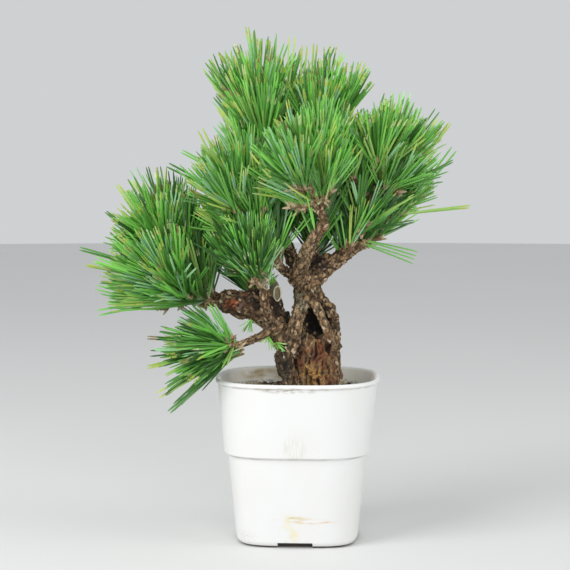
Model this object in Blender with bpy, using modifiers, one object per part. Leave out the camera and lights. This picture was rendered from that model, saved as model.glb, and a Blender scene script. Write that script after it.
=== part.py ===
"""A young Japanese black pine trained as a small bonsai, in a rounded square pot of white plastic.

The frame has its origin at the middle of the pot's flat underside, +Z up, with the front of the tree
towards -Y. The wood is a chain of tapering limbs: a hollow stump, the boughs that leave it and its fork,
and on each bough's tip a mass of shoots and needles that grows by one seeded rule.
"""

import math
import random
from dataclasses import dataclass

import bmesh
import bpy
from mathutils import Matrix, Vector, noise
from mathutils.geometry import intersect_point_line

MM = 0.001
CLEARANCE = 0.3 * MM
WELD = 0.01 * MM

# Pot: a thin moulded shell, a rounded square that is rounder at the rim than at the foot
POT_HEIGHT = 104.6 * MM
RIM_HALF_WIDTH = 52.5 * MM
LIP_HEIGHT = 3.6 * MM
LIP_REACH = 1.2 * MM
LIP_THICKNESS = 2.2 * MM
STEP_HEIGHT = 58.0 * MM
STEP_DEPTH = 2.2 * MM
STEP_RISE = 1.2 * MM
STEP_HALF_WIDTH = 44.5 * MM
FOOT_HALF_WIDTH = 38.6 * MM
FOOT_ROUNDING = 4.5 * MM
WALL = 1.5 * MM
FLOOR = 2.2 * MM
FOOT_SQUARENESS = 4.0
RIM_SQUARENESS = 2.8
POT_STEPS = 40
SLOT_WIDTH = 22.0 * MM
SLOT_HEIGHT = 3.5 * MM
SLOT_REACH = 6.0 * MM
DRAIN_RADIUS = 3.0 * MM
DRAIN_OFFSET = 17.0 * MM

# Soil: fills the pot to a finger's breadth below the rim, a little lower along the wall
SOIL_LEVEL = 94.0 * MM
SOIL_EDGE_DROP = 1.5 * MM
SOIL_GAP = WALL + 0.45 * MM
FLAT_SOIL_RADIUS = 27.0 * MM

# Wood
LIMB_STEPS = 5
LIMB_SIDES = 8
LIMB_ROUGHNESS = 0.10
LUMP_SIZE = 9.0 * MM
TRUNK_FOOT = SOIL_LEVEL + CLEARANCE
HOLLOW_CENTRE = (11.5 * MM, -13.0 * MM, 140.0 * MM)
HOLLOW_RADII = (9.5 * MM, 12.0 * MM, 11.0 * MM)
BUTTRESSES = 7
BUTTRESS_RADIUS = 4.0 * MM
BUTTRESS_RISE = 16.0 * MM
BUTTRESS_SPREAD = 16.5 * MM
BUTTRESS_SINK = 4.0 * MM
BUTTRESS_LEAN = 4.5 * MM

# Shoots: each has a bare twig and a tuft, the slim core that its needles are rooted in
GOLDEN_ANGLE = math.radians(137.508)
LEADER_SHARE = 0.7
FIRST_SHOOT = 0.2
SHOOT_SPACING = 9.0 * MM
STEM_SINK = 1.0 * MM
TWIG_RADIUS = 1.4 * MM
TUFT_LENGTH = 11.0 * MM
TUFT_RADIUS = 2.3 * MM

# Needles: each solid one stands for several of the real ones, so it is thicker than life
NEEDLE_RADIUS = 1.7 * MM
NEEDLES_A_SHOOT = 10
WIDEST_SHARE = 0.22
SHORTEST_NEEDLE = 0.82
TIP_ANGLE = math.radians(12.0)
SKIRT_ANGLE = math.radians(74.0)
SPACE_MARGIN = 2.4 * MM
LIMB_MARGIN = 3.0 * MM
POT_MARGIN = 4.0 * MM
NEEDLE_SAMPLES = 9
LIMB_SAMPLES = 8
TRIES_A_NEEDLE = 5


def mm(x, y, z):
    """A point or a direction given in millimetres."""
    return Vector((x, y, z)) * MM


@dataclass
class Limb:
    """One tapering limb on a smooth bow: start, tip, how far its middle bows out, and its end radii."""

    start: Vector
    tip: Vector
    bow: Vector
    foot_mm: float
    tip_mm: float

    def at(self, share):
        return self.start.lerp(self.tip, share) + self.bow * (4.0 * share * (1.0 - share))

    def radius(self, share):
        return (self.foot_mm + (self.tip_mm - self.foot_mm) * share) * MM


TRUNK_LIMBS = {
    "stump": Limb(mm(11, 1, 90), mm(10, 2, 133), mm(1.5, 0, 0), 16.8, 14.3),
    "left_stem": Limb(mm(-7, -9, 90), mm(-14, -8, 142), mm(3.5, -1, 0), 4.6, 5.2),
    "left_shoulder": Limb(mm(3, 4, 116), mm(-15, 0, 142), mm(-1, 0, -3), 10.0, 9.6),
    "heart": Limb(mm(9, 4, 124), mm(7, -1, 172), mm(1, 1, 0), 10.5, 7.4),
}

# Strands that lean on the upper trunk over the mouth of the hollow, and a knob beside it
FRONT_LIMBS = {
    "left_leg": Limb(mm(3, -5, 115), mm(6.5, -7.5, 157), mm(-5.5, -5, 0), 4.8, 4.2),
    "right_leg": Limb(mm(19, -6, 119), mm(9.5, -7.5, 155), mm(1.5, -4.5, 1), 3.2, 3.2),
    "outer_strand": Limb(mm(22, -3, 120), mm(13, -4, 157), mm(4.5, 0, 2), 3.2, 3.0),
    "right_knob": Limb(mm(20, -2, 120), mm(27.5, -3, 125), mm(0, 0, 0), 4.5, 2.0),
}

# Each bough starts inside what carries it, where it is cut
BOUGHS = {
    "bough_left": Limb(mm(-8, 1, 132), mm(-47, -4, 152), mm(-2, 0, 6.5), 8.4, 7.2),
    "bough_centre": Limb(mm(3, -6, 167), mm(18.5, -25, 205), mm(-2, -1, 0), 5.2, 3.2),
    "bough_right": Limb(mm(10, -1, 166), mm(46, 5, 192), mm(0, 0, 2), 4.6, 2.6),
    "bough_right_top": Limb(mm(28, 2, 183), mm(42, -4, 209), mm(2, 0, 0), 3.4, 2.4),
    "bough_right_rear": Limb(mm(22, 2, 178), mm(33, 23, 200), mm(1, 2, -2), 3.4, 2.4),
    "bough_back": Limb(mm(4, 3, 167), mm(-13, 13, 214), mm(-5, 3, 0), 5.0, 3.2),
    "bough_rear": Limb(mm(9, 4, 166), mm(10, 30, 202), mm(0, 5, 0), 4.4, 2.8),
    "bough_mid_left": Limb(mm(0, -3, 168), mm(-15, -14.5, 183), mm(0, 0, -1), 3.4, 2.3),
    "bough_inner": Limb(mm(-14, -10, 139), mm(-21.5, -19, 163), mm(-2, -3, -2), 3.2, 2.4),
    "bough_low": Limb(mm(-11, -10, 139), mm(-38.5, -18, 125), mm(0, -2, 1.5), 3.2, 2.3),
    "bough_left_low": Limb(mm(-42, -4, 151), mm(-64, -7, 153.5), mm(0, 0, -1), 3.4, 2.2),
    "bough_left_top": Limb(mm(-42, -1, 152), mm(-68, 4, 169), mm(-2, 0, -3), 3.2, 2.2),
    "bough_left_rear": Limb(mm(-28, 3, 150), mm(-34, 24, 168), mm(0, 4, -3), 3.6, 2.4),
    "bough_top": Limb(mm(7, 0, 168), mm(12, 4, 214), mm(1, 1, 0), 4.2, 2.8),
}


@dataclass
class Mass:
    """One mass of foliage: a stem from its bough's tip to the leader's top, side shoots and needles.

    sides and side_mm are how many side shoots there are and how long, flares their angles from the stem
    at its foot and near its top, turn where their spiral starts, and pull how strongly needles turn up.
    """

    bough: str
    top: Vector
    sides: int
    side_mm: float
    flares: tuple
    turn: float
    needle_mm: float
    pull: float = 0.4

    def shoots(self, name):
        """(foot, tip) of each shoot: the leader, then the side shoots in a spiral up the stem."""
        rng = random.Random(name)
        foot = BOUGHS[self.bough].tip
        lean = (self.top - foot).normalized()
        across = lean.orthogonal().normalized()
        whorl = foot.lerp(self.top, LEADER_SHARE)
        found = [(whorl, self.top)]
        for i in range(self.sides):
            share = (i + 0.5) / self.sides
            start = foot.lerp(whorl, FIRST_SHOOT + (1.0 - FIRST_SHOOT) * share)
            outward = Matrix.Rotation(math.radians(self.turn) + GOLDEN_ANGLE * i, 3, lean) @ across
            flare = math.radians(self.flares[0] + (self.flares[1] - self.flares[0]) * share)
            heading = lean * math.cos(flare) + outward * math.sin(flare)
            found.append((start, start + heading * self.side_mm * MM * rng.uniform(0.9, 1.1)))
        return found


MASSES = {
    "needles_low": Mass("bough_low", mm(-48, -21, 124), 4, 8, (85, 50), 60, 54, pull=0.2),
    "needles_left_low": Mass("bough_left_low", mm(-92, -12, 164), 5, 15, (75, 45), 20, 54, pull=0.5),
    "needles_left_top": Mass("bough_left_top", mm(-89, 2, 198), 6, 18, (80, 45), 40, 47),
    "needles_left_rear": Mass("bough_left_rear", mm(-49, 44, 188), 4, 16, (75, 45), 10, 44),
    "needles_inner": Mass("bough_inner", mm(-30, -30, 180), 4, 13, (75, 45), 80, 38),
    "needles_mid_left": Mass("bough_mid_left", mm(-44, -16, 229), 6, 17, (80, 45), 0, 45),
    "needles_top_left": Mass("bough_back", mm(-27, 4, 278), 7, 21, (80, 45), 30, 48),
    "needles_top": Mass("bough_top", mm(16, 5, 275), 6, 20, (80, 45), 10, 45),
    "needles_centre": Mass("bough_centre", mm(4, -46, 240), 6, 19, (80, 45), 0, 45),
    "needles_right_top": Mass("bough_right_top", mm(60, -8, 252), 6, 20, (80, 45), 15, 46),
    "needles_right": Mass("bough_right", mm(64, 9, 224), 4, 16, (75, 40), 50, 48),
    "needles_right_rear": Mass("bough_right_rear", mm(44, 42, 226), 4, 16, (75, 45), 50, 42),
    "needles_rear": Mass("bough_rear", mm(6, 52, 246), 6, 20, (80, 45), 45, 44),
}


def new_collection(name):
    made = bpy.data.collections.new(name)
    bpy.context.scene.collection.children.link(made)
    return made


def principled(name, colour, roughness):
    material = bpy.data.materials.new(name)
    material.use_nodes = True
    shader = material.node_tree.nodes["Principled BSDF"]
    shader.inputs["Base Color"].default_value = (*colour, 1.0)
    shader.inputs["Roughness"].default_value = roughness
    shader.inputs["Metallic"].default_value = 0.0
    material.diffuse_color = (*colour, 1.0)
    return material


def paint(obj, material):
    """Gives the whole object one material, whatever slots its cuts left."""
    obj.data.materials.clear()
    obj.data.materials.append(material)
    for face in obj.data.polygons:
        face.material_index = 0


def shade(obj, angle):
    obj.data.shade_smooth()
    obj.data.set_sharp_from_angle(angle=math.radians(angle))


def add_object(name, shape, collection):
    """Makes a bmesh an object and frees it."""
    mesh = bpy.data.meshes.new(name)
    shape.to_mesh(mesh)
    shape.free()
    made = bpy.data.objects.new(name, mesh)
    collection.objects.link(made)
    return made


def remove_objects(*objects):
    for obj in objects:
        bpy.data.objects.remove(obj)


def evaluated_mesh(obj):
    """The object's mesh as its modifiers or its curve settings leave it."""
    bpy.context.view_layer.update()
    graph = bpy.context.evaluated_depsgraph_get()
    return bpy.data.meshes.new_from_object(obj.evaluated_get(graph))


def edit(obj, *steps):
    """Runs bmesh steps on the object's mesh."""
    shape = bmesh.new()
    shape.from_mesh(obj.data)
    for step in steps:
        step(shape)
    shape.to_mesh(obj.data)
    shape.free()


def weld(shape):
    bmesh.ops.remove_doubles(shape, verts=shape.verts, dist=WELD)


def orient(shape):
    bmesh.ops.recalc_face_normals(shape, faces=shape.faces)


def triangulate(shape):
    """Makes every face flat, so that the next cut meets the same surface."""
    bmesh.ops.triangulate(shape, faces=shape.faces)


def drop_scraps(shape):
    """Keeps the largest body and drops the loose scraps that a cut leaves."""
    left = set(shape.verts)
    bodies = []
    while left:
        body = set()
        frontier = [left.pop()]
        while frontier:
            vert = frontier.pop()
            body.add(vert)
            joined = {edge.other_vert(vert) for edge in vert.link_edges} & left
            left -= joined
            frontier.extend(joined)
        bodies.append(body)
    largest = max(bodies, key=len)
    scraps = [vert for body in bodies if body is not largest for vert in body]
    bmesh.ops.delete(shape, geom=scraps, context="VERTS")


def boolean(obj, operation, solver, operand=None, collection=None):
    """Joins or cuts obj, applies the result, and removes what it was joined to or cut with."""
    modifier = obj.modifiers.new(operation.title(), "BOOLEAN")
    modifier.operation = operation
    modifier.solver = solver
    if collection:
        modifier.operand_type = "COLLECTION"
        modifier.collection = collection
    else:
        modifier.object = operand
    mesh = evaluated_mesh(obj)
    obj.modifiers.clear()
    obj.data = mesh
    edit(obj, triangulate)
    if collection:
        remove_objects(*collection.objects)
        bpy.data.collections.remove(collection)
    else:
        remove_objects(operand)


def new_limb(name, route, collection, grow=0.0):
    """A limb as a bevelled curve made a mesh, its skin uneven by a smooth noise and grown by a gap."""
    curve = bpy.data.curves.new(name, "CURVE")
    curve.dimensions = "3D"
    curve.bevel_depth = 1.0
    curve.bevel_resolution = LIMB_SIDES // 2 - 2
    curve.use_fill_caps = True
    spline = curve.splines.new("POLY")
    spline.points.add(LIMB_STEPS)
    for i, point in enumerate(spline.points):
        point.co = (*route.at(i / LIMB_STEPS), 1.0)
        point.radius = route.radius(i / LIMB_STEPS)
    guide = bpy.data.objects.new(name + "_guide", curve)
    collection.objects.link(guide)
    shape = bmesh.new()
    shape.from_mesh(evaluated_mesh(guide))
    remove_objects(guide)
    weld(shape)
    shares = [i / (4 * LIMB_STEPS) for i in range(4 * LIMB_STEPS + 1)]
    heading = (route.tip - route.at(shares[-2])).normalized()
    for vert in shape.verts:
        share = min(shares, key=lambda one: (route.at(one) - vert.co).length)
        outward = vert.co - route.at(share)
        vert.co += outward * noise.noise(vert.co / LUMP_SIZE) * LIMB_ROUGHNESS
        vert.co += outward.normalized() * grow
        if share == shares[-1]:
            vert.co += heading * grow
    orient(shape)
    triangulate(shape)
    return add_object(name, shape, collection)


def new_box(name, low, high, collection):
    shape = bmesh.new()
    bmesh.ops.create_cube(shape, size=1.0)
    size = [b - a for a, b in zip(low, high)]
    middle = Vector(low).lerp(Vector(high), 0.5)
    place = Matrix.Translation(middle) @ Matrix.Diagonal((*size, 1.0))
    bmesh.ops.transform(shape, matrix=place, verts=shape.verts)
    return add_object(name, shape, collection)


def new_ellipsoid(name, centre, radii, collection):
    shape = bmesh.new()
    bmesh.ops.create_uvsphere(shape, u_segments=12, v_segments=8, radius=1.0)
    place = Matrix.Translation(centre) @ Matrix.Diagonal((*radii, 1.0))
    bmesh.ops.transform(shape, matrix=place, verts=shape.verts)
    return add_object(name, shape, collection)


def new_cone(name, foot, tip, foot_radius, tip_radius, sides, collection):
    """A straight cone or frustum between two points."""
    axis = tip - foot
    shape = bmesh.new()
    bmesh.ops.create_cone(
        shape,
        cap_ends=True,
        segments=sides,
        radius1=foot_radius,
        radius2=tip_radius,
        depth=axis.length,
    )
    turn = axis.to_track_quat("Z", "Y").to_matrix().to_4x4()
    bmesh.ops.transform(shape, matrix=Matrix.Translation((foot + tip) / 2) @ turn, verts=shape.verts)
    return add_object(name, shape, collection)


def turned(name, profile, collection):
    """A profile from the top down its outer side, turned and pushed out to a rounded square."""
    shape = bmesh.new()
    verts = [shape.verts.new((radius, 0.0, height)) for radius, height in profile]
    for above, below in zip(verts, verts[1:]):
        shape.edges.new((above, below))
    made = add_object(name, shape, collection)
    screw = made.modifiers.new("Turn", "SCREW")
    screw.steps = POT_STEPS
    screw.render_steps = POT_STEPS
    screw.use_merge_vertices = True
    screw.merge_threshold = WELD
    mesh = evaluated_mesh(made)
    made.modifiers.clear()
    made.data = mesh
    edit(made, square_up, weld, orient)
    return made


def square_up(shape):
    """Pushes a turned shape out to the pot's rounded square, squarer towards the foot."""
    for vert in shape.verts:
        radius = vert.co.xy.length
        if radius == 0:
            continue
        share = min(max(vert.co.z / POT_HEIGHT, 0.0), 1.0)
        power = FOOT_SQUARENESS + (RIM_SQUARENESS - FOOT_SQUARENESS) * share
        across = abs(vert.co.x) / radius
        deep = abs(vert.co.y) / radius
        vert.co.xy *= (across**power + deep**power) ** (-1.0 / power)


def wall_half_width(height):
    """The outer face's half width at a height below the lip: two tapering bands with a step between."""
    if height < STEP_HEIGHT:
        return FOOT_HALF_WIDTH + (STEP_HALF_WIDTH - FOOT_HALF_WIDTH) * height / STEP_HEIGHT
    share = (height - STEP_HEIGHT) / (POT_HEIGHT - STEP_HEIGHT)
    band_foot = STEP_HALF_WIDTH + STEP_DEPTH
    return band_foot + (RIM_HALF_WIDTH - LIP_REACH - band_foot) * share


def make_pot(collection, cutters):
    """The pot: lip, upper band, step, lower band, foot, then the inner face back up to the lip."""
    lip_foot = POT_HEIGHT - LIP_HEIGHT
    lip_edge = LIP_THICKNESS / 3
    below_step = STEP_HEIGHT - STEP_RISE
    outer = [
        (RIM_HALF_WIDTH - lip_edge, POT_HEIGHT),
        (RIM_HALF_WIDTH, POT_HEIGHT - lip_edge),
        (RIM_HALF_WIDTH, lip_foot + lip_edge / 2),
        (wall_half_width(lip_foot), lip_foot),
        (wall_half_width(STEP_HEIGHT), STEP_HEIGHT),
        (wall_half_width(below_step), below_step),
        (wall_half_width(FOOT_ROUNDING), FOOT_ROUNDING),
        (FOOT_HALF_WIDTH - FOOT_ROUNDING * 0.3, FOOT_ROUNDING * 0.3),
        (FOOT_HALF_WIDTH - FOOT_ROUNDING, 0.0),
        (0.0, 0.0),
    ]
    inner = [
        (0.0, FLOOR),
        (FOOT_HALF_WIDTH - WALL - FOOT_ROUNDING / 2, FLOOR),
        (wall_half_width(FOOT_ROUNDING + WALL) - WALL, FOOT_ROUNDING + WALL),
        (wall_half_width(below_step - WALL) - WALL, below_step - WALL),
        (wall_half_width(STEP_HEIGHT) - WALL, STEP_HEIGHT - CLEARANCE),
        (wall_half_width(lip_foot) - WALL, lip_foot + lip_edge),
        (RIM_HALF_WIDTH - LIP_THICKNESS, POT_HEIGHT),
        (RIM_HALF_WIDTH - lip_edge, POT_HEIGHT),
    ]
    pot = turned("pot", outer + inner, collection)
    for i in range(4):
        quarter = Matrix.Rotation(math.tau * i / 4, 4, "Z")
        low = (-SLOT_WIDTH / 2, -FOOT_HALF_WIDTH - SLOT_REACH, -FLOOR)
        high = (SLOT_WIDTH / 2, -FOOT_HALF_WIDTH + SLOT_REACH, SLOT_HEIGHT)
        slot = new_box(f"slot_{i}", low, high, cutters)
        slot.data.transform(quarter)
        boolean(pot, "DIFFERENCE", "EXACT", operand=slot)
        below = Vector((DRAIN_OFFSET, DRAIN_OFFSET, -FLOOR)) * math.sqrt(0.5)
        above = below + Vector((0.0, 0.0, 3 * FLOOR))
        drain = new_cone(f"drain_{i}", below, above, DRAIN_RADIUS, DRAIN_RADIUS, 12, cutters)
        drain.data.transform(quarter)
        boolean(pot, "DIFFERENCE", "EXACT", operand=drain)
    shade(pot, 30.0)
    paint(pot, principled("pot_plastic", (0.86, 0.86, 0.84), 0.35))


def make_soil(collection):
    """The root ball and its grit: a plug of the pot's inner shape, held clear of the wall."""

    def beside_wall(height, further=0.0):
        return wall_half_width(height) - SOIL_GAP - further, height

    edge = SOIL_LEVEL - SOIL_EDGE_DROP
    bevel = 0.6 * MM
    profile = [
        (0.0, SOIL_LEVEL),
        (FLAT_SOIL_RADIUS, SOIL_LEVEL),
        beside_wall(edge + bevel, further=5 * bevel),
        beside_wall(edge, further=bevel),
        beside_wall(STEP_HEIGHT + STEP_DEPTH, further=bevel / 2),
        beside_wall(STEP_HEIGHT - STEP_RISE - STEP_DEPTH),
        beside_wall(FOOT_ROUNDING + FLOOR, further=bevel),
        (FOOT_HALF_WIDTH - SOIL_GAP - 10 * bevel, FLOOR + CLEARANCE),
        (0.0, FLOOR + CLEARANCE),
    ]
    soil = turned("soil", profile, collection)
    shade(soil, 50.0)
    paint(soil, principled("soil_grit", (0.10, 0.065, 0.045), 0.95))


def add_buttresses(name, collection, grow):
    """The ridges of the root flare, leaning on the stump's foot."""
    foot = TRUNK_LIMBS["stump"].start
    for i in range(BUTTRESSES):
        outward = Matrix.Rotation(math.tau * (i + 0.3) / BUTTRESSES, 3, "Z") @ Vector((1.0, 0.0, 0.0))
        start = Vector((foot.x, foot.y, TRUNK_FOOT - BUTTRESS_SINK)) + outward * BUTTRESS_SPREAD
        tip = start - outward * BUTTRESS_LEAN + Vector((0.0, 0.0, BUTTRESS_RISE))
        new_cone(f"{name}_root_{i}", start, tip, BUTTRESS_RADIUS + grow, BUTTRESS_RADIUS / 5, 8, collection)


def make_trunk(name, collection, cutters, grow=0.0):
    """The hollow stump and its upper trunk as one body, cut flat at the soil, grown by a gap."""
    routes = dict(TRUNK_LIMBS)
    trunk = new_limb(name, routes.pop("stump"), collection, grow)
    solid_limbs = new_collection(name + "_limbs")
    for limb_name, route in routes.items():
        new_limb(f"{name}_{limb_name}", route, solid_limbs, grow)
    add_buttresses(name, solid_limbs, grow)
    boolean(trunk, "UNION", "MANIFOLD", collection=solid_limbs)
    hollow = new_ellipsoid(name + "_hollow", HOLLOW_CENTRE, HOLLOW_RADII, cutters)
    boolean(trunk, "DIFFERENCE", "MANIFOLD", operand=hollow)
    front_limbs = new_collection(name + "_front")
    for limb_name, route in FRONT_LIMBS.items():
        new_limb(f"{name}_{limb_name}", route, front_limbs, grow)
    boolean(trunk, "UNION", "MANIFOLD", collection=front_limbs)
    reach = 2 * RIM_HALF_WIDTH
    ground = new_box(name + "_ground", (-reach, -reach, 0.0), (reach, reach, TRUNK_FOOT - grow), cutters)
    boolean(trunk, "DIFFERENCE", "MANIFOLD", operand=ground)
    edit(trunk, drop_scraps)
    return trunk


def make_boughs(collection, cutters, bark):
    """Each bough is cut by what carries it and by the boughs before it, with the clearance kept."""
    carriers = [make_trunk("trunk_clearance", cutters, cutters, grow=CLEARANCE)]
    for name, route in BOUGHS.items():
        bough = new_limb(name, route, collection)
        for carrier in carriers:
            cutter = bpy.data.objects.new(name + "_cutter", carrier.data)
            cutters.objects.link(cutter)
            boolean(bough, "DIFFERENCE", "MANIFOLD", operand=cutter)
        edit(bough, drop_scraps)
        shade(bough, 50.0)
        paint(bough, bark)
        carriers.append(new_limb(name + "_clearance", route, cutters, grow=CLEARANCE))
    remove_objects(*carriers)


def new_needle(name, root, end, collection):
    """A three-sided spindle, slim at its root and widest a little way out."""
    length = (end - root).length
    shape = bmesh.new()
    tip_part = (1.0 - WIDEST_SHARE) * length
    bmesh.ops.create_cone(shape, segments=3, radius1=NEEDLE_RADIUS, radius2=0.0, depth=tip_part)
    bmesh.ops.translate(shape, vec=(0.0, 0.0, length - tip_part / 2), verts=shape.verts)
    rim = [edge for edge in shape.edges if edge.is_boundary]
    grown = bmesh.ops.extrude_edge_only(shape, edges=rim)["geom"]
    lower = [part for part in grown if isinstance(part, bmesh.types.BMVert)]
    bmesh.ops.pointmerge(shape, verts=lower, merge_co=(0.0, 0.0, 0.0))
    turn = (end - root).to_track_quat("Z", "Y").to_matrix().to_4x4()
    bmesh.ops.transform(shape, matrix=Matrix.Translation(root) @ turn, verts=shape.verts)
    orient(shape)
    return add_object(name, shape, collection)


def needle_ray(rng, foot, tip, mass, place):
    """(root, end) of the needle at a place in its shoot's spiral, the lowest ones standing out the most."""
    axis = (tip - foot).normalized()
    share = (place + rng.uniform(0.2, 0.8)) / NEEDLES_A_SHOOT
    root = tip - axis * TUFT_LENGTH * (1.0 - share)
    angle = SKIRT_ANGLE + (TIP_ANGLE - SKIRT_ANGLE) * share + rng.uniform(-0.1, 0.1)
    turn = GOLDEN_ANGLE * place + rng.uniform(-0.4, 0.4)
    across = Matrix.Rotation(turn, 3, axis) @ axis.orthogonal().normalized()
    heading = axis * math.cos(angle) + across * math.sin(angle) + Vector((0.0, 0.0, mass.pull))
    length = mass.needle_mm * MM * rng.uniform(SHORTEST_NEEDLE, 1.0)
    return root, root + heading.normalized() * length


def distance_to_shoots(point, shoots):
    """From a point to the nearest of some shoots, each a segment."""
    nearest = math.inf
    for foot, tip in shoots:
        _, share = intersect_point_line(point, foot, tip)
        on_segment = foot.lerp(tip, min(max(share, 0.0), 1.0))
        nearest = min(nearest, (point - on_segment).length)
    return nearest


def grow_shoots():
    """Every mass's stem and shoots, without the side shoots that would come near another mass's."""
    found = {}
    for name, mass in MASSES.items():
        stem = BOUGHS[mass.bough].tip, mass.top
        found[name] = [stem, mass.shoots(name)[0]]
    for name, mass in MASSES.items():
        others = [shoot for other in MASSES if other != name for shoot in found[other]]
        for foot, tip in mass.shoots(name)[1:]:
            points = [foot.lerp(tip, share) for share in (0.5, 0.8, 1.0)]
            if all(distance_to_shoots(point, others) > SHOOT_SPACING for point in points):
                found[name].append((foot, tip))
    return found


def touches_wood(point):
    for route in [*BOUGHS.values(), *TRUNK_LIMBS.values(), *FRONT_LIMBS.values()]:
        for i in range(LIMB_SAMPLES + 1):
            share = i / LIMB_SAMPLES
            reach = route.radius(share) * (1.0 + LIMB_ROUGHNESS) + LIMB_MARGIN
            if (route.at(share) - point).length < reach:
                return True
    return False


def touches_pot(point):
    beside = max(abs(point.x), abs(point.y)) < RIM_HALF_WIDTH + POT_MARGIN
    return beside and point.z < POT_HEIGHT + POT_MARGIN


def is_free(name, root, end, all_shoots):
    """True if a needle keeps to its mass's own space and off the wood, the pot and the soil."""
    for i in range(2, NEEDLE_SAMPLES + 1):
        point = root.lerp(end, i / NEEDLE_SAMPLES)
        own = distance_to_shoots(point, all_shoots[name])
        others = [shoots for other, shoots in all_shoots.items() if other != name]
        if any(distance_to_shoots(point, shoots) < own + SPACE_MARGIN for shoots in others):
            return False
        if touches_wood(point) or touches_pot(point):
            return False
    return True


def make_mass(name, mass, all_shoots, collection, cutters):
    """One mass: its stem and twigs, the tufts that are its shoots' cores, and their needles."""
    rng = random.Random(name + " needles")
    parts = new_collection(name + "_parts")
    bough = BOUGHS[mass.bough]
    stem_foot = bough.tip + (bough.start - bough.tip).normalized() * STEM_SINK
    made = new_cone(name, stem_foot, mass.top, bough.radius(1.0), TWIG_RADIUS, 6, collection)
    for i, (foot, tip) in enumerate(all_shoots[name][1:]):
        tuft_foot = tip + (foot - tip).normalized() * (TUFT_LENGTH + TUFT_RADIUS)
        new_cone(f"{name}_twig_{i}", foot, tuft_foot.lerp(tip, 0.3), TWIG_RADIUS, TWIG_RADIUS, 5, parts)
        new_cone(f"{name}_tuft_{i}", tuft_foot, tip, TUFT_RADIUS, TUFT_RADIUS, 5, parts)
        for place in range(NEEDLES_A_SHOOT):
            for _ in range(TRIES_A_NEEDLE):
                root, end = needle_ray(rng, foot, tip, mass, place)
                if is_free(name, root, end, all_shoots):
                    new_needle(f"{name}_needle_{i}_{place}", root, end, parts)
                    break
    boolean(made, "UNION", "MANIFOLD", collection=parts)
    carrier = new_limb(name + "_clearance", bough, cutters, grow=CLEARANCE)
    boolean(made, "DIFFERENCE", "MANIFOLD", operand=carrier)
    edit(made, drop_scraps)
    return made


def main():
    remove_objects(*bpy.data.objects)
    tree = new_collection("black_pine_bonsai")
    cutters = new_collection("cutters")
    bark = principled("bark", (0.27, 0.18, 0.11), 0.9)
    foliage = principled("needles", (0.13, 0.30, 0.07), 0.55)
    make_pot(tree, cutters)
    make_soil(tree)
    trunk = make_trunk("trunk", tree, cutters)
    shade(trunk, 50.0)
    paint(trunk, bark)
    make_boughs(tree, cutters, bark)
    all_shoots = grow_shoots()
    for name, mass in MASSES.items():
        made = make_mass(name, mass, all_shoots, tree, cutters)
        paint(made, foliage)


main()
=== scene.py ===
"""Looks of a small Japanese black pine bonsai in its white plastic growing pot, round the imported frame.

Lengths are in metres, and MM turns millimetres into them. The front of the tree is towards -Y.
"""

import math
import random
from dataclasses import dataclass

import bmesh
import bpy
import numpy as np
from mathutils import Matrix, Vector, kdtree, noise
from mathutils.geometry import intersect_point_line


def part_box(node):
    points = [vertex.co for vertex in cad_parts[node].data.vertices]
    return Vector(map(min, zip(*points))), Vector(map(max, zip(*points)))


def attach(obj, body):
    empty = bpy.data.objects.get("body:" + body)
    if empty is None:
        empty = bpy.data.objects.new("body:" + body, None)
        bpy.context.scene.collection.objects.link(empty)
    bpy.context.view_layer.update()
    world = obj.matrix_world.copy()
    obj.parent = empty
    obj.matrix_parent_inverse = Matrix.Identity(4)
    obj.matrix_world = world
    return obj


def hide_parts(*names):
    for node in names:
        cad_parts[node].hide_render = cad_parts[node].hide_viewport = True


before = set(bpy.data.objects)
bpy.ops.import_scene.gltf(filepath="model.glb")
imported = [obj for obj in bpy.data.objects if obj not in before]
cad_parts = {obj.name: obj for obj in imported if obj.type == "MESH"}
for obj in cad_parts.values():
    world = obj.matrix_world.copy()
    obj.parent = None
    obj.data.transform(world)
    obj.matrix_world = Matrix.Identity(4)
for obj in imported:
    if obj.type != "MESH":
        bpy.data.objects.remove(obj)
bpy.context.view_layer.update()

# The growing pot
# A thin shell of white polypropylene, injection moulded with a rolled lip, a stacking step and a drainage
# slot at the foot of each side. Bands of grime and painted shade darken it under the lip and at the step,
# water has run down its front, and a yellow tide mark is left near its foot. Its inside is painted lighter
# than its outside as painted light, and its slots and the faces under its foot are painted near black as
# painted shade.

MM = 0.001
POT_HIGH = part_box("pot")[1]
POT_HEIGHT = POT_HIGH.z
RIM_HALF_WIDTH = POT_HIGH.x
LIP_HEIGHT = 2.7 * MM
LIP_REACH = 1.2 * MM
LIP_THICKNESS = 2.2 * MM
STEP_HEIGHT = 58.0 * MM
STEP_DEPTH = 2.2 * MM
STEP_RISE = 1.2 * MM
STEP_HALF_WIDTH = 44.5 * MM
FOOT_HALF_WIDTH = 38.6 * MM
FOOT_ROUNDING = 4.5 * MM
WALL = 1.5 * MM
FLOOR = 2.2 * MM
FOOT_SQUARENESS = 4.0
RIM_SQUARENESS = 2.8
POT_STEPS = 160
SLOT_WIDTH = 22.0 * MM
SLOT_HEIGHT = 3.5 * MM
SLOT_REACH = 6.0 * MM
DRAIN_RADIUS = 3.0 * MM
DRAIN_OFFSET = 17.0 * MM
DRAIN_SIDES = 32
CUTTER_HEIGHT = 22.0 * MM
ROUNDING_STEPS = 4
MERGE_REACH = 0.001 * MM
INWARD_LEAN = 0.2
DOWNWARD_LEAN = 0.7
POT_CREASE = math.radians(35.0)
FLECK_EDGE = (0.42, 0.66)
STAIN_CORE = 0.55


def new_finish(name, colour, roughness):
    """A material with one plain colour and roughness, and its surface shader."""
    finish = bpy.data.materials.new(name)
    finish.use_nodes = True
    finish.diffuse_color = (*colour, 1.0)
    surface = finish.node_tree.nodes["Principled BSDF"]
    surface.inputs["Base Color"].default_value = (*colour, 1.0)
    surface.inputs["Roughness"].default_value = roughness
    return finish, surface


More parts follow.
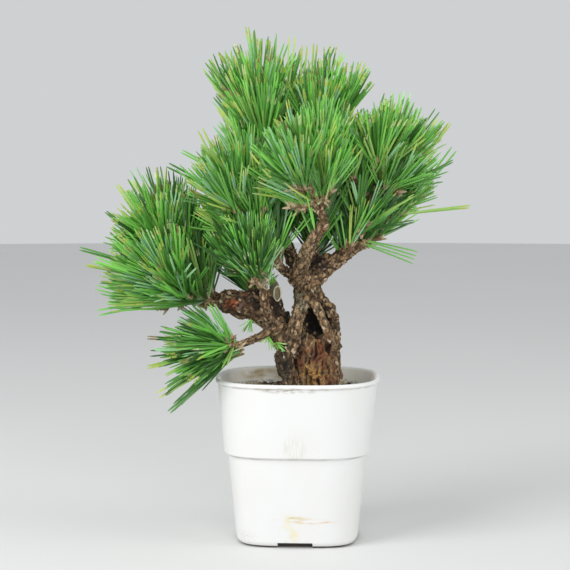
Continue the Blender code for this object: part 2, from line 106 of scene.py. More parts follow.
def add_node(finish, kind, inputs, **settings):
    """Adds a node: inputs maps each socket's name or number to a value or to the socket that feeds it."""
    node = finish.node_tree.nodes.new(kind)
    for setting, value in settings.items():
        setattr(node, setting, value)
    for socket, value in inputs.items():
        if isinstance(value, bpy.types.NodeSocket):
            finish.node_tree.links.new(value, node.inputs[socket])
        else:
            node.inputs[socket].default_value = value
    return node


def object_place(finish):
    """Where a point of the surface lies on the object."""
    return add_node(finish, "ShaderNodeTexCoord", {}).outputs["Object"]


def grain(finish, size, stretch=(1.0, 1.0, 1.0), detail=4.0):
    """Soft noise from 0 to 1 whose grains have a size in metres, stretched along the axes."""
    scale = [1.0 / (size * way) for way in stretch]
    place = add_node(finish, "ShaderNodeMapping", {"Vector": object_place(finish), "Scale": scale})
    pattern = {"Vector": place.outputs["Vector"], "Scale": 1.0, "Detail": detail}
    return add_node(finish, "ShaderNodeTexNoise", pattern).outputs["Fac"]


def between(finish, value, low, high):
    """The value's share of the way from low to high, kept within 0 and 1."""
    reach = {"Value": value, "From Min": low, "From Max": high}
    return add_node(finish, "ShaderNodeMapRange", reach).outputs["Result"]


def times(finish, first, second):
    """Two values or sockets multiplied."""
    return add_node(finish, "ShaderNodeMath", {0: first, 1: second}, operation="MULTIPLY").outputs[0]


def blend(finish, share, first, second):
    """Colour between two others, each a colour or a socket."""
    inputs = {0: share}
    for number, colour in ((6, first), (7, second)):
        inputs[number] = colour if isinstance(colour, bpy.types.NodeSocket) else (*colour, 1.0)
    return add_node(finish, "ShaderNodeMix", inputs, data_type="RGBA").outputs[2]


def rough_up(finish, surface, height, depth):
    """Lets a height pattern dent the surface by a depth in metres."""
    bump = add_node(finish, "ShaderNodeBump", {"Height": height, "Distance": depth, "Strength": 1.0})
    finish.node_tree.links.new(bump.outputs["Normal"], surface.inputs["Normal"])


def stain_or_shade(finish, under, colour, strength, centre_mm, reach_mm, fleck, stretch=(1.0, 1.0, 1.0)):
    """Lays a blotchy stain or painted shade over a colour, strongest at its centre and gone at its reach.
    """
    fit = {
        "Vector": object_place(finish),
        "Location": [-c / r for c, r in zip(centre_mm, reach_mm)],
        "Scale": [1.0 / (r * MM) for r in reach_mm],
    }
    place = {"Vector": add_node(finish, "ShaderNodeMapping", fit).outputs["Vector"]}
    near = add_node(finish, "ShaderNodeTexGradient", place, gradient_type="SPHERICAL").outputs["Fac"]
    blotch = between(finish, grain(finish, fleck, stretch), *FLECK_EDGE)
    share = times(finish, times(finish, between(finish, near, 0.0, STAIN_CORE), blotch), strength)
    return blend(finish, share, under, colour)


def mottled_finish(name, plain, roughness, fleck, first, second, stains_and_shade=()):
    """A finish that wavers between two colours in flecks of a size, under its stains and painted shade."""
    finish, surface = new_finish(name, plain, roughness)
    colour = blend(finish, grain(finish, fleck), first, second)
    for mark in stains_and_shade:
        colour = stain_or_shade(finish, colour, *mark)
    finish.node_tree.links.new(colour, surface.inputs["Base Color"])
    return finish, surface


def wall_half_width(height):
    """The outer face's half width at a height below the lip: two tapering bands with a step between."""
    if height < STEP_HEIGHT:
        return FOOT_HALF_WIDTH + (STEP_HALF_WIDTH - FOOT_HALF_WIDTH) * height / STEP_HEIGHT
    share = (height - STEP_HEIGHT) / (POT_HEIGHT - STEP_HEIGHT)
    band_foot = STEP_HALF_WIDTH + STEP_DEPTH
    return band_foot + (RIM_HALF_WIDTH - LIP_REACH - band_foot) * share


def rounded_square(x, y, height):
    """How far a point at this radius is pushed out to the pot's rounded square, squarer at the foot."""
    share = min(max(height / POT_HEIGHT, 0.0), 1.0)
    power = FOOT_SQUARENESS + (RIM_SQUARENESS - FOOT_SQUARENESS) * share
    radius = math.hypot(x, y)
    return ((abs(x) / radius) ** power + (abs(y) / radius) ** power) ** (-1.0 / power)


def turn_squarely(corners):
    """Turns a profile of (radius, height, rounding) corners and pushes it out to the rounded square."""
    shape = bmesh.new()
    verts = [shape.verts.new((radius, 0.0, height)) for radius, height, _ in corners]
    for near, far in zip(verts, verts[1:]):
        shape.edges.new((near, far))
    for vert, (_, _, rounding) in zip(verts, corners):
        if rounding:
            rounded = {"segments": ROUNDING_STEPS, "profile": 0.5, "material": -1}
            bmesh.ops.bevel(shape, geom=[vert], affect="VERTICES", offset=rounding, **rounded)
    drawn = shape.verts[:] + shape.edges[:]
    full_turn = {"axis": (0.0, 0.0, 1.0), "angle": math.tau, "steps": POT_STEPS, "use_merge": True}
    bmesh.ops.spin(shape, geom=drawn, cent=(0.0, 0.0, 0.0), **full_turn)
    bmesh.ops.remove_doubles(shape, verts=shape.verts, dist=MERGE_REACH)
    for vert in shape.verts:
        if vert.co.xy.length > 0:
            vert.co.xy *= rounded_square(vert.co.x, vert.co.y, vert.co.z)
    bmesh.ops.recalc_face_normals(shape, faces=shape.faces)
    return shape


def add_piece(name, shape, *finishes):
    """Makes a bmesh an object with its finishes and frees it."""
    mesh = bpy.data.meshes.new(name)
    shape.to_mesh(mesh)
    shape.free()
    for finish in finishes:
        mesh.materials.append(finish)
    piece = bpy.data.objects.new(name, mesh)
    bpy.context.scene.collection.objects.link(piece)
    return piece


def settle(piece):
    """Applies a piece's modifiers."""
    bpy.context.view_layer.update()
    graph = bpy.context.evaluated_depsgraph_get()
    mesh = bpy.data.meshes.new_from_object(piece.evaluated_get(graph))
    piece.modifiers.clear()
    piece.data = mesh


def combine(piece, operation, solver, other):
    """Cuts or joins a piece with another, which is used up."""
    modifier = piece.modifiers.new(operation.title(), "BOOLEAN")
    modifier.operation = operation
    modifier.solver = solver
    modifier.object = other
    settle(piece)
    bpy.data.objects.remove(other)


def drain_cutters():
    """The slots at the foot of the four sides and the four holes in the floor, as one cutter."""
    shape = bmesh.new()
    for i in range(4):
        quarter = Matrix.Rotation(math.tau * i / 4, 4, "Z")
        slot_place = Matrix.Translation((0.0, -FOOT_HALF_WIDTH, SLOT_HEIGHT - CUTTER_HEIGHT / 2))
        slot_size = Matrix.Diagonal((SLOT_WIDTH, 2 * SLOT_REACH, CUTTER_HEIGHT, 1.0))
        bmesh.ops.create_cube(shape, size=1.0, matrix=quarter @ slot_place @ slot_size)
        diagonal = DRAIN_OFFSET * math.sqrt(0.5)
        hole_place = quarter @ Matrix.Translation((diagonal, diagonal, FLOOR / 2))
        drill = {"radius1": DRAIN_RADIUS, "radius2": DRAIN_RADIUS, "depth": 4 * FLOOR}
        bmesh.ops.create_cone(shape, cap_ends=True, segments=DRAIN_SIDES, matrix=hole_place, **drill)
    return add_piece("drains", shape)


LIP_FOOT = POT_HEIGHT - LIP_HEIGHT
BELOW_STEP = STEP_HEIGHT - STEP_RISE
pot_profile = [
    (0.0, 0.0, 0.0),
    (FOOT_HALF_WIDTH, 0.0, FOOT_ROUNDING),
    (wall_half_width(BELOW_STEP), BELOW_STEP, 0.8 * MM),
    (wall_half_width(STEP_HEIGHT), STEP_HEIGHT, 0.6 * MM),
    (wall_half_width(LIP_FOOT), LIP_FOOT, 0.3 * MM),
    (RIM_HALF_WIDTH, LIP_FOOT, 0.9 * MM),
    (RIM_HALF_WIDTH, POT_HEIGHT, 1.0 * MM),
    (RIM_HALF_WIDTH - LIP_THICKNESS, POT_HEIGHT, 0.8 * MM),
    (wall_half_width(LIP_FOOT) - WALL, LIP_FOOT + WALL, 0.5 * MM),
    (wall_half_width(STEP_HEIGHT) - WALL, STEP_HEIGHT - WALL / 3, 0.5 * MM),
    (wall_half_width(BELOW_STEP - WALL) - WALL, BELOW_STEP - WALL, 0.5 * MM),
    (wall_half_width(FLOOR) - WALL, FLOOR, 3.0 * MM),
    (0.0, FLOOR, 0.0),
]

# Each stain: colour, strength, centre and reach in mm, size of its flecks, and how any are stretched
OUTSIDE_STAINS_AND_SHADE = [
    ((0.74, 0.73, 0.69), 0.35, (0, 0, 40), (300, 300, 300), 26 * MM, (1.0, 1.0, 1.6)),
    # Grime and painted shade in a band under the lip, darkest under the front
    ((0.46, 0.42, 0.34), 0.6, (0, 0, 101.8), (900, 900, 1.0), 6 * MM, (1.0, 1.0, 0.5)),
    ((0.34, 0.29, 0.20), 0.75, (-2, -51, 101.1), (26, 12, 2.4), 3 * MM, (1.5, 1.0, 0.5)),
    # Grime and painted shade in a band at the step
    ((0.44, 0.41, 0.36), 0.8, (0, 0, 57.3), (900, 900, 0.9), 14 * MM, (1.0, 1.0, 0.5)),
    ((0.60, 0.57, 0.51), 0.6, (0, -47, 64), (9, 14, 10), 1.1 * MM, (1.0, 1.0, 9.0)),
    ((0.70, 0.68, 0.64), 0.5, (-36, -34, 88), (6, 9, 4), 4 * MM),
    ((0.74, 0.68, 0.42), 0.75, (-2, -40, 13.5), (9, 12, 12), 6 * MM),
    ((0.60, 0.52, 0.25), 0.85, (-1, -41, 19.0), (14, 12, 2.3), 3 * MM, (3.0, 1.0, 0.6)),
    ((0.64, 0.42, 0.22), 0.95, (12, -41, 17.4), (17, 12, 1.9), 3 * MM, (3.0, 1.0, 0.6)),
    ((0.55, 0.52, 0.46), 0.7, (-31, -36, 7), (9, 8, 4), 1.3 * MM),
]
COOL_WHITE = (0.775, 0.778, 0.780)
WARM_WHITE = (0.745, 0.745, 0.735)
white = ("pot_white_plastic", (0.87, 0.87, 0.86), 0.38)
plastic, surface = mottled_finish(*white, 60 * MM, COOL_WHITE, WARM_WHITE, OUTSIDE_STAINS_AND_SHADE)
dull = between(plastic, grain(plastic, 12 * MM), -0.5, 2.0)
plastic.node_tree.links.new(dull, surface.inputs["Roughness"])
rough_up(plastic, surface, grain(plastic, 3 * MM, detail=2.0), 0.03 * MM)

INSIDE_STAINS = [
    ((0.80, 0.70, 0.50), 0.25, (0, 0, 98), (900, 900, 9), 9 * MM),
    ((0.50, 0.38, 0.21), 1.0, (-24, 46, 99.5), (26, 16, 5), 6 * MM, (1.6, 1.0, 0.7)),
    ((0.58, 0.44, 0.25), 0.9, (-28, 47, 100), (24, 16, 5), 15 * MM, (1.6, 1.0, 1.0)),
    ((0.14, 0.10, 0.07), 0.7, (0, 0, 94.0), (900, 900, 2.0), 3 * MM, (1.0, 1.0, 1.4)),
]
# The inside is cream from staining and painted lighter than the outer white as painted light.
CREAM = (0.97, 0.95, 0.90)
AGED_CREAM = (0.93, 0.90, 0.82)
cream = ("pot_stained_inside", (0.62, 0.60, 0.54), 0.5)
wall_inside, _ = mottled_finish(*cream, 18 * MM, CREAM, AGED_CREAM, INSIDE_STAINS)

# The drain slots and the faces that look down at the foot are painted near black: painted shade.
foot_shade = ("pot_grimy_underside", (0.060, 0.052, 0.042), 0.8)
underside, _ = mottled_finish(*foot_shade, 5 * MM, (0.030, 0.026, 0.022), (0.110, 0.095, 0.075))

pot = add_piece("pot_shell", turn_squarely(pot_profile), plastic, wall_inside, underside)
combine(pot, "DIFFERENCE", "EXACT", drain_cutters())
for face in pot.data.polygons:
    leaning = face.normal.x * face.center.x + face.normal.y * face.center.y
    inward = leaning < -INWARD_LEAN * face.center.xy.length
    face.material_index = int(inward and FLOOR < face.center.z < POT_HEIGHT - LIP_THICKNESS / 3)
    # Faces in the slots and facing down at the foot take the near-black painted shade.
    aside, out = sorted(map(abs, face.center.xy))
    in_slot = aside < SLOT_WIDTH / 2 + WALL / 10 and out < FOOT_HALF_WIDTH - FOOT_ROUNDING
    if face.center.z < SLOT_HEIGHT and (in_slot or face.normal.z < -DOWNWARD_LEAN):
        face.material_index = 2
pot.data.shade_smooth()
pot.data.set_sharp_from_angle(angle=POT_CREASE)
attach(pot, "root")
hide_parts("pot")

# The potting grit
# Coarse fired-clay and pumice grit round the root ball, darkened by years of watering. The plug fills the
# pot, loose grains lie all over its top, and larger crumbs have washed up against the wall.

SOIL_LEVEL = 94.0 * MM
SOIL_EDGE_DROP = 1.5 * MM
SOIL_GAP = WALL + 0.45 * MM
FLAT_SOIL_RADIUS = 27.0 * MM
GRAINS = 4400
GRAIN_KINDS = 5
GRAIN_SPREAD = (-0.15, 0.38)
BIGGEST_GRAIN = 2.3
WALL_GRAINS = 190
GRAINS_REACH = 4.5 * MM
CRUMBS_A_HEAP = 7
CRUMB_HEAPS_MM = [(-38, 43), (-27, 46), (-15, 46), (-12, 44), (34, 45), (41, 42), (8, 46)]
CRUMB_HEAPS_MM += [(-44, 10), (44, -12)]
GRIT_COLOURS = {
    "grit_black_brown": (0.030, 0.020, 0.014),
    "grit_brown": (0.085, 0.050, 0.030),
    "grit_red_clay": (0.150, 0.070, 0.036),
    "grit_pumice": (0.360, 0.320, 0.250),
}
GRIT_SHARES = [0.42, 0.34, 0.15, 0.09]


def soil_height(x, y):
    """The soil's top: flat round the trunk and falling a little towards the wall."""
    outwards = max(math.hypot(x, y) - FLAT_SOIL_RADIUS, 0.0) / (RIM_HALF_WIDTH - FLAT_SOIL_RADIUS)
    return SOIL_LEVEL - SOIL_EDGE_DROP * outwards


def pattern_of(shape):
    """A bmesh as arrays of its points and its triangles, ready to be copied many times."""
    bmesh.ops.recalc_face_normals(shape, faces=shape.faces)
    bmesh.ops.triangulate(shape, faces=shape.faces)
    shape.verts.index_update()
    points = np.array([vert.co for vert in shape.verts])
    triangles = np.array([[vert.index for vert in face.verts] for face in shape.faces])
    shape.free()
    return points, triangles


def add_copies(name, patterns, places, finish):
    """One joined mesh of many small things: places holds (which pattern, its matrix)."""
    points, triangles = [], []
    total = 0
    for which, (pattern_points, pattern_triangles) in enumerate(patterns):
        matrices = [place for number, place in places if number == which]
        if not matrices:
            continue
        stacked = np.array([np.array(matrix) for matrix in matrices])
        moved = np.einsum("nij,pj->npi", stacked[:, :3, :3], pattern_points) + stacked[:, None, :3, 3]
        starts = total + np.arange(len(matrices)) * len(pattern_points)
        points.append(moved.reshape(-1, 3))
        triangles.append((pattern_triangles[None] + starts[:, None, None]).reshape(-1, 3))
        total += moved.shape[0] * moved.shape[1]
    mesh = bpy.data.meshes.new(name)
    mesh.from_pydata(np.concatenate(points), [], np.concatenate(triangles))
    mesh.materials.append(finish)
    piece = bpy.data.objects.new(name, mesh)
    bpy.context.scene.collection.objects.link(piece)
    return piece


def add_colours(colours, patterns, places, roughness):
    """One joined mesh of copies for each colour of a group."""
    pieces = []
    for name, colour in colours.items():
        finish, _ = new_finish(name, colour, roughness)
        pieces.append(add_copies(name, patterns, places[name], finish))
    return pieces


def grain_of_grit(rng):
    """A chip of fired clay: an uneven ball of twenty faces."""
    shape = bmesh.new()
    bmesh.ops.create_icosphere(shape, subdivisions=1, radius=1.0)
    for vert in shape.verts:
        vert.co *= rng.uniform(0.72, 1.15)
    bmesh.ops.scale(shape, vec=(1.0, 0.85, 0.7), verts=shape.verts)
    return pattern_of(shape)


def random_turn(rng):
    """Turned any way round and tipped by up to 1.2 radians."""
    around = Matrix.Rotation(rng.uniform(0, math.tau), 4, "Z")
    return around @ Matrix.Rotation(rng.uniform(-1.2, 1.2), 4, "X")


EDGE_LEVEL = SOIL_LEVEL - SOIL_EDGE_DROP
soil_profile = [
    (0.0, SOIL_LEVEL, 0.0),
    (FLAT_SOIL_RADIUS, SOIL_LEVEL, 4.0 * MM),
    (wall_half_width(EDGE_LEVEL) - SOIL_GAP, EDGE_LEVEL, 1.0 * MM),
    (wall_half_width(STEP_HEIGHT) - SOIL_GAP, STEP_HEIGHT + STEP_DEPTH, 1.0 * MM),
    (wall_half_width(BELOW_STEP - STEP_DEPTH) - SOIL_GAP, BELOW_STEP - STEP_DEPTH, 1.0 * MM),
    (wall_half_width(FOOT_ROUNDING) - SOIL_GAP, FLOOR + 0.3 * MM, 4.0 * MM),
    (0.0, FLOOR + 0.3 * MM, 0.0),
]
peat = ("soil_dark", (0.035, 0.024, 0.016), 0.95)
soil_dark, surface = mottled_finish(*peat, 2.5 * MM, (0.018, 0.012, 0.008), (0.075, 0.048, 0.030))
rough_up(soil_dark, surface, grain(soil_dark, 1.2 * MM), 0.6 * MM)
soil = add_piece("soil_plug", turn_squarely(soil_profile), soil_dark)
soil.data.shade_smooth()
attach(soil, "root")
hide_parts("soil")

rng = random.Random(7)
grit_patterns = [grain_of_grit(rng) for _ in range(GRAIN_KINDS)]
grit_places = {name: [] for name in GRIT_COLOURS}
while sum(len(places) for places in grit_places.values()) < GRAINS:
    x = rng.uniform(-1, 1) * RIM_HALF_WIDTH
    y = rng.uniform(-1, 1) * RIM_HALF_WIDTH
    radius = min(rng.lognormvariate(*GRAIN_SPREAD), BIGGEST_GRAIN) * MM
    inner = (wall_half_width(SOIL_LEVEL) - WALL - radius) * rounded_square(x, y, SOIL_LEVEL)
    if math.hypot(x, y) > inner:
        continue
    height = soil_height(x, y) + rng.uniform(-0.3, 0.5) * radius
    kind = rng.choices(list(GRIT_COLOURS), GRIT_SHARES)[0]
    place = Matrix.Translation((x, y, height)) @ random_turn(rng) @ Matrix.Scale(radius, 4)
    grit_places[kind].append((rng.randrange(len(grit_patterns)), place))
for _ in range(WALL_GRAINS):
    x, y = Vector((1.0, 0.0)) @ Matrix.Rotation(rng.uniform(0, math.tau), 2)
    height = EDGE_LEVEL + GRAINS_REACH * rng.random() ** 2
    reach = (wall_half_width(height) - WALL) * rounded_square(x, y, height)
    place = Matrix.Translation((x * reach, y * reach, height)) @ random_turn(rng)
    place @= Matrix.Scale(rng.uniform(0.3, 0.8) * MM, 4)
    kind = rng.choices(list(GRIT_COLOURS), GRIT_SHARES)[0]
    grit_places[kind].append((rng.randrange(len(grit_patterns)), place))
for heap_x, heap_y in CRUMB_HEAPS_MM:
    for _ in range(CRUMBS_A_HEAP):
        radius = rng.uniform(0.6, 1.5) * MM
        x = (heap_x + rng.gauss(0.0, 1.8)) * MM
        y = (heap_y + rng.gauss(0.0, 1.0)) * MM
        height = EDGE_LEVEL + rng.uniform(0.1, 1.8) * MM
        inner = (wall_half_width(height) - WALL - radius) * rounded_square(x, y, height)
        inwards = min(inner / math.hypot(x, y), 1.0)
        place = Matrix.Translation((x * inwards, y * inwards, height)) @ random_turn(rng)
        kind = rng.choice(("grit_black_brown", "grit_brown", "grit_red_clay"))
        crumb = (rng.randrange(len(grit_patterns)), place @ Matrix.Scale(radius, 4))
        grit_places[kind].append(crumb)
for grit in add_colours(GRIT_COLOURS, grit_patterns, grit_places, roughness=0.9):
    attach(grit, "root")

# The wood
# The hollow stump with its root flare, the strands that lean over the mouth of the hollow, the left stem,
# the upper trunk and the boughs. It is live wood under corky bark that cracks into plates and flakes; the
# stump's front has lost its bark and shows red-brown, fibrous dead wood.

VOXEL = 0.66 * MM
LUMP_SIZE = 9.0 * MM
LIMB_ROUGHNESS = 0.10
LIMB_SIDES = 16
LIMB_STEPS = 14
BURL_SIDES = 16
BURL_RINGS = 10
HOLLOW_CENTRE = Vector((12.5, -11.0, 140.0)) * MM
HOLLOW_RADII = (10.5 * MM, 18.0 * MM, 11.5 * MM)
HOLLOW_ROUGHNESS = 0.35
HOLLOW_LUMPS = 4.0 * MM
BUTTRESSES = 7
BUTTRESS_RADIUS = 4.0 * MM
BUTTRESS_RISE = 16.0 * MM
BUTTRESS_SPREAD = 16.5 * MM
BUTTRESS_SINK = 4.0 * MM
BUTTRESS_LEAN = 4.5 * MM
BUTTRESS_TURN = 0.3
BUTTRESS_TAPER = 5


def mm(x, y, z):
    """A point or a direction given in millimetres."""
    return Vector((x, y, z)) * MM


@dataclass
class Limb:
    """One tapering limb on a smooth bow: start, tip, how far its middle bows out, and its end radii."""

    start: Vector
    tip: Vector
    bow: Vector
    foot_mm: float
    tip_mm: float

    def at(self, share):
        return self.start.lerp(self.tip, share) + self.bow * (4.0 * share * (1.0 - share))

    def radius(self, share):
        return (self.foot_mm + (self.tip_mm - self.foot_mm) * share) * MM

    def heading(self, share):
        return (self.tip - self.start + self.bow * (4.0 - 8.0 * share)).normalized()


TRUNK_LIMBS = {
    "stump": Limb(mm(11, 1, 90), mm(10, 2, 133), mm(1.5, 0, 0), 16.8, 14.3),
    "left_stem": Limb(mm(-7, -9, 90), mm(-14, -8, 142), mm(3.5, -1, 0), 4.6, 5.2),
    "left_shoulder": Limb(mm(3, 4, 116), mm(-15, 0, 142), mm(-1, 0, -3), 10.0, 9.6),
    "heart": Limb(mm(9, 4, 124), mm(5, -1, 171), mm(0, 1, 0), 10.5, 8.6),
}
FRONT_LIMBS = {
    "left_leg": Limb(mm(-1, -8, 118), mm(5.5, -9, 156), mm(-3.5, -4, 0), 4.6, 4.2),
    "right_leg": Limb(mm(22.5, -7, 122), mm(9.5, -9, 154), mm(1.5, -4.5, 1), 3.0, 2.8),
    "outer_strand": Limb(mm(23, -2, 120), mm(13, -3, 157), mm(5, 0, 2), 3.4, 3.0),
    "left_crown": Limb(mm(-9, -4, 134), mm(-18.5, -4, 160), mm(0.5, 0, 0), 5.8, 4.2),
    "right_knob": Limb(mm(20, -2, 120), mm(27.5, -3, 125), mm(0, 0, 0), 4.5, 2.0),
    "dead_spur": Limb(mm(-9.5, -10, 106), mm(-13.8, -11, 120), mm(-0.8, 0, 0), 2.6, 1.0),
}
BOUGHS = {
    "bough_left": Limb(mm(-8, 1, 132), mm(-47, -4, 152), mm(-2, 0, 6.5), 8.4, 7.2),
    "bough_centre": Limb(mm(-1, -7, 165), mm(18.5, -25, 205), mm(-2.5, -1, 0), 5.2, 3.4),
    "bough_right": Limb(mm(9, -1, 165), mm(46, 5, 192), mm(0, 0, 2), 6.0, 2.8),
    "bough_right_top": Limb(mm(28, 2, 183), mm(42, -4, 209), mm(2, 0, 0), 3.4, 2.4),
    "bough_right_rear": Limb(mm(22, 2, 178), mm(33, 23, 200), mm(1, 2, -2), 3.4, 2.4),
    "bough_back": Limb(mm(4, 3, 167), mm(-13, 13, 214), mm(-5, 3, 0), 5.0, 3.2),
    "bough_rear": Limb(mm(9, 4, 166), mm(10, 30, 202), mm(0, 5, 0), 4.4, 2.8),
    "bough_mid_left": Limb(mm(0, -3, 168), mm(-15, -14.5, 183), mm(-3, 0, -1.5), 3.6, 2.5),
    "bough_inner": Limb(mm(-14, -12, 138), mm(-21, -20, 163), mm(-2, -3, -2), 3.2, 2.4),
    "bough_low": Limb(mm(-11, -10, 138), mm(-38.5, -18, 125), mm(0, -2, -1), 3.2, 2.3),
    "bough_left_low": Limb(mm(-42, -4, 151), mm(-64, -7, 153.5), mm(0, 0, -1), 3.4, 2.2),
    "bough_left_top": Limb(mm(-42, -1, 152), mm(-68, 4, 169), mm(-2, 0, -3), 3.2, 2.2),
    "bough_left_rear": Limb(mm(-28, 3, 150), mm(-34, 24, 168), mm(0, 4, -3), 3.6, 2.4),
    "bough_top": Limb(mm(7, 0, 168), mm(12, 4, 214), mm(1, 1, 0), 4.2, 2.8),
}


@dataclass
class Mass:
    """One mass of foliage: a stem from its bough's tip to the leader's top, side shoots and needles.

    sides and side_mm are how many side shoots there are and how long, flares their angles from the stem
    at its foot and near its top, turn where their spiral starts, and pull how strongly needles turn up.
    skirt is the angle of its lowest needles, lowest the least slope of any, and density their share.
    shade is how far its greens are darkened as painted shade under the rest, and spurs_from where on
    its bough the short spurs begin.
    """

    bough: str
    top: Vector
    sides: int
    side_mm: float
    flares: tuple
    turn: float
    needle_mm: float
    pull: float = 0.4
    skirt: float = 50
    lowest: float = 0.08
    density: float = 0.85
    shade: float = 0.0
    spurs_from: float = 0.35


MASSES = {
    "needles_low": Mass(
        "bough_low", mm(-48, -21, 124), 4, 8, (45, 25), 60, 48,
        pull=-0.05, skirt=38, lowest=-0.62, density=0.4, shade=0.35, spurs_from=1.0,
    ),
    "needles_left_low": Mass(
        "bough_left_low", mm(-87, -12, 163), 5, 15, (75, 45), 20, 50,
        pull=0.25, lowest=-0.05, density=0.75, spurs_from=0.75,
    ),
    "needles_left_top": Mass(
        "bough_left_top", mm(-91, 1, 195), 6, 17, (80, 45), 40, 42, pull=0.25, shade=0.25
    ),
    "needles_left_rear": Mass("bough_left_rear", mm(-49, 44, 188), 4, 16, (75, 45), 10, 44),
    "needles_inner": Mass(
        "bough_inner", mm(-30, -30, 180), 4, 13, (75, 45), 80, 38, shade=0.6, spurs_from=1.0
    ),
    "needles_mid_left": Mass(
        "bough_mid_left", mm(-43, -16, 227), 6, 17, (80, 45), 0, 44, pull=0.3, spurs_from=0.75
    ),
    "needles_top_left": Mass(
        "bough_back", mm(-26, 4, 279), 7, 20, (80, 45), 30, 49, pull=0.6, lowest=0.6
    ),
    "needles_top": Mass("bough_top", mm(16, 5, 275), 6, 20, (80, 45), 10, 46, pull=0.55),
    "needles_centre": Mass(
        "bough_centre", mm(4, -46, 240), 6, 19, (80, 45), 0, 45, pull=0.5, spurs_from=0.75
    ),
    "needles_right_top": Mass(
        "bough_right_top", mm(59, -8, 246), 6, 20, (80, 45), 15, 43,
        pull=0.25, shade=0.12, spurs_from=0.25,
    ),
    "needles_right": Mass(
        "bough_right", mm(60, 9, 222), 4, 15, (75, 40), 50, 41, pull=0.3, lowest=0.0, shade=0.12
    ),
    "needles_right_rear": Mass("bough_right_rear", mm(44, 42, 226), 4, 16, (75, 45), 50, 42),
    "needles_rear": Mass("bough_rear", mm(6, 52, 246), 6, 20, (80, 45), 45, 44),
}

# Swellings where boughs were pruned or fork, each a centre in mm and a radius
BURLS = [
    (mm(-15.5, -9, 137), 7.0),
    (mm(1, -5, 168), 7.2),
    (mm(11, -2, 168), 6.4),
    (mm(29, 2, 184), 4.2),
    (mm(-45, -4, 152), 7.6),
    (mm(-29, -1, 152), 8.6),
    (mm(-36.5, -4, 148.5), 7.8),
    (mm(21, -3, 148), 3.6),
    (mm(23.5, -3, 142), 3.4),
    (mm(23, 0, 133), 4.4),
    (mm(16, 7, 139), 8.0),
    (mm(13, -2, 173), 5.2),
    (mm(18, 1, 179), 4.8),
]
TWIG_RADIUS = 1.4 * MM
STEM_SHARE = 0.95


def grow_through(shape, places, sides):
    """Extrudes a disc through a row of places, which also give its size."""
    ring = bmesh.ops.create_circle(shape, cap_ends=True, segments=sides, radius=1.0)["verts"]
    bmesh.ops.transform(shape, matrix=places[0], verts=ring)
    made = bmesh.ops.extrude_face_region(shape, geom=ring[0].link_faces[:])["geom"]
    cap = next(part for part in made if isinstance(part, bmesh.types.BMFace))
    bmesh.ops.transform(shape, matrix=places[1] @ places[0].inverted(), verts=cap.verts)
    for before, after in zip(places[1:], places[2:]):
        cap = bmesh.ops.extrude_discrete_faces(shape, faces=[cap])["faces"][0]
        bmesh.ops.transform(shape, matrix=after @ before.inverted(), verts=cap.verts)


def aimed(direction):
    """The turn that lays Z along a direction."""
    return direction.to_track_quat("Z", "Y").to_matrix().to_4x4()


def grow_limb(shape, route, sides=LIMB_SIDES, steps=LIMB_STEPS):
    """Extrudes a disc along a limb's route, tapering as it goes."""
    places = []
    for i in range(steps + 1):
        size = Matrix.Scale(route.radius(i / steps), 4)
        places.append(Matrix.Translation(route.at(i / steps)) @ aimed(route.heading(i / steps)) @ size)
    grow_through(shape, places, sides)


def stem_of(mass):
    """The twig that carries on from a bough's tip through its mass."""
    bough = BOUGHS[mass.bough]
    radius = bough.tip_mm * STEM_SHARE
    return Limb(bough.tip - bough.heading(1.0) * MM, mass.top, mm(0, 0, 0), radius, TWIG_RADIUS / MM)


def add_flare(shape):
    """The ridges of the root flare, leaning on the stump's foot."""
    foot = TRUNK_LIMBS["stump"].start
    for i in range(BUTTRESSES):
        turn = Matrix.Rotation(math.tau * (i + BUTTRESS_TURN) / BUTTRESSES, 3, "Z")
        outward = turn @ Vector((1.0, 0.0, 0.0))
        start = Vector((foot.x, foot.y, SOIL_LEVEL - BUTTRESS_SINK)) + outward * BUTTRESS_SPREAD
        tip = start - outward * BUTTRESS_LEAN + Vector((0.0, 0.0, BUTTRESS_RISE))
        foot_mm = BUTTRESS_RADIUS / MM
        grow_limb(shape, Limb(start, tip, mm(0, 0, 0), foot_mm, foot_mm / BUTTRESS_TAPER))


def melt_together(piece):
    """Makes the overlapping limbs of a piece one skin of small even faces."""
    remesh = piece.modifiers.new("Melt", "REMESH")
    remesh.mode = "VOXEL"
    remesh.voxel_size = VOXEL
    remesh.use_smooth_shade = True
    settle(piece)


stump_shape = bmesh.new()
for route in TRUNK_LIMBS.values():
    grow_limb(stump_shape, route)
add_flare(stump_shape)
for centre, radius in BURLS:
    ball = {"u_segments": BURL_SIDES, "v_segments": BURL_RINGS, "radius": radius * MM}
    bmesh.ops.create_uvsphere(stump_shape, matrix=Matrix.Translation(centre), **ball)
bmesh.ops.recalc_face_normals(stump_shape, faces=stump_shape.faces)
wood = add_piece("bark", stump_shape)
melt_together(wood)
hollow_shape = bmesh.new()
hollow_size = Matrix.Translation(HOLLOW_CENTRE) @ Matrix.Diagonal((*HOLLOW_RADII, 1.0))
bmesh.ops.create_icosphere(hollow_shape, subdivisions=4, radius=1.0, matrix=hollow_size)
for vert in hollow_shape.verts:
    outwards = (vert.co - HOLLOW_CENTRE) * HOLLOW_ROUGHNESS
    vert.co += outwards * noise.noise(vert.co / HOLLOW_LUMPS)
combine(wood, "DIFFERENCE", "EXACT", add_piece("hollow", hollow_shape))
stem_routes = [stem_of(mass) for mass in MASSES.values()]
limbs_shape = bmesh.new()
limbs_shape.from_mesh(wood.data)
for route in [*FRONT_LIMBS.values(), *BOUGHS.values(), *stem_routes]:
    grow_limb(limbs_shape, route)
bpy.data.objects.remove(wood)
wood = add_piece("bark", limbs_shape)
melt_together(wood)

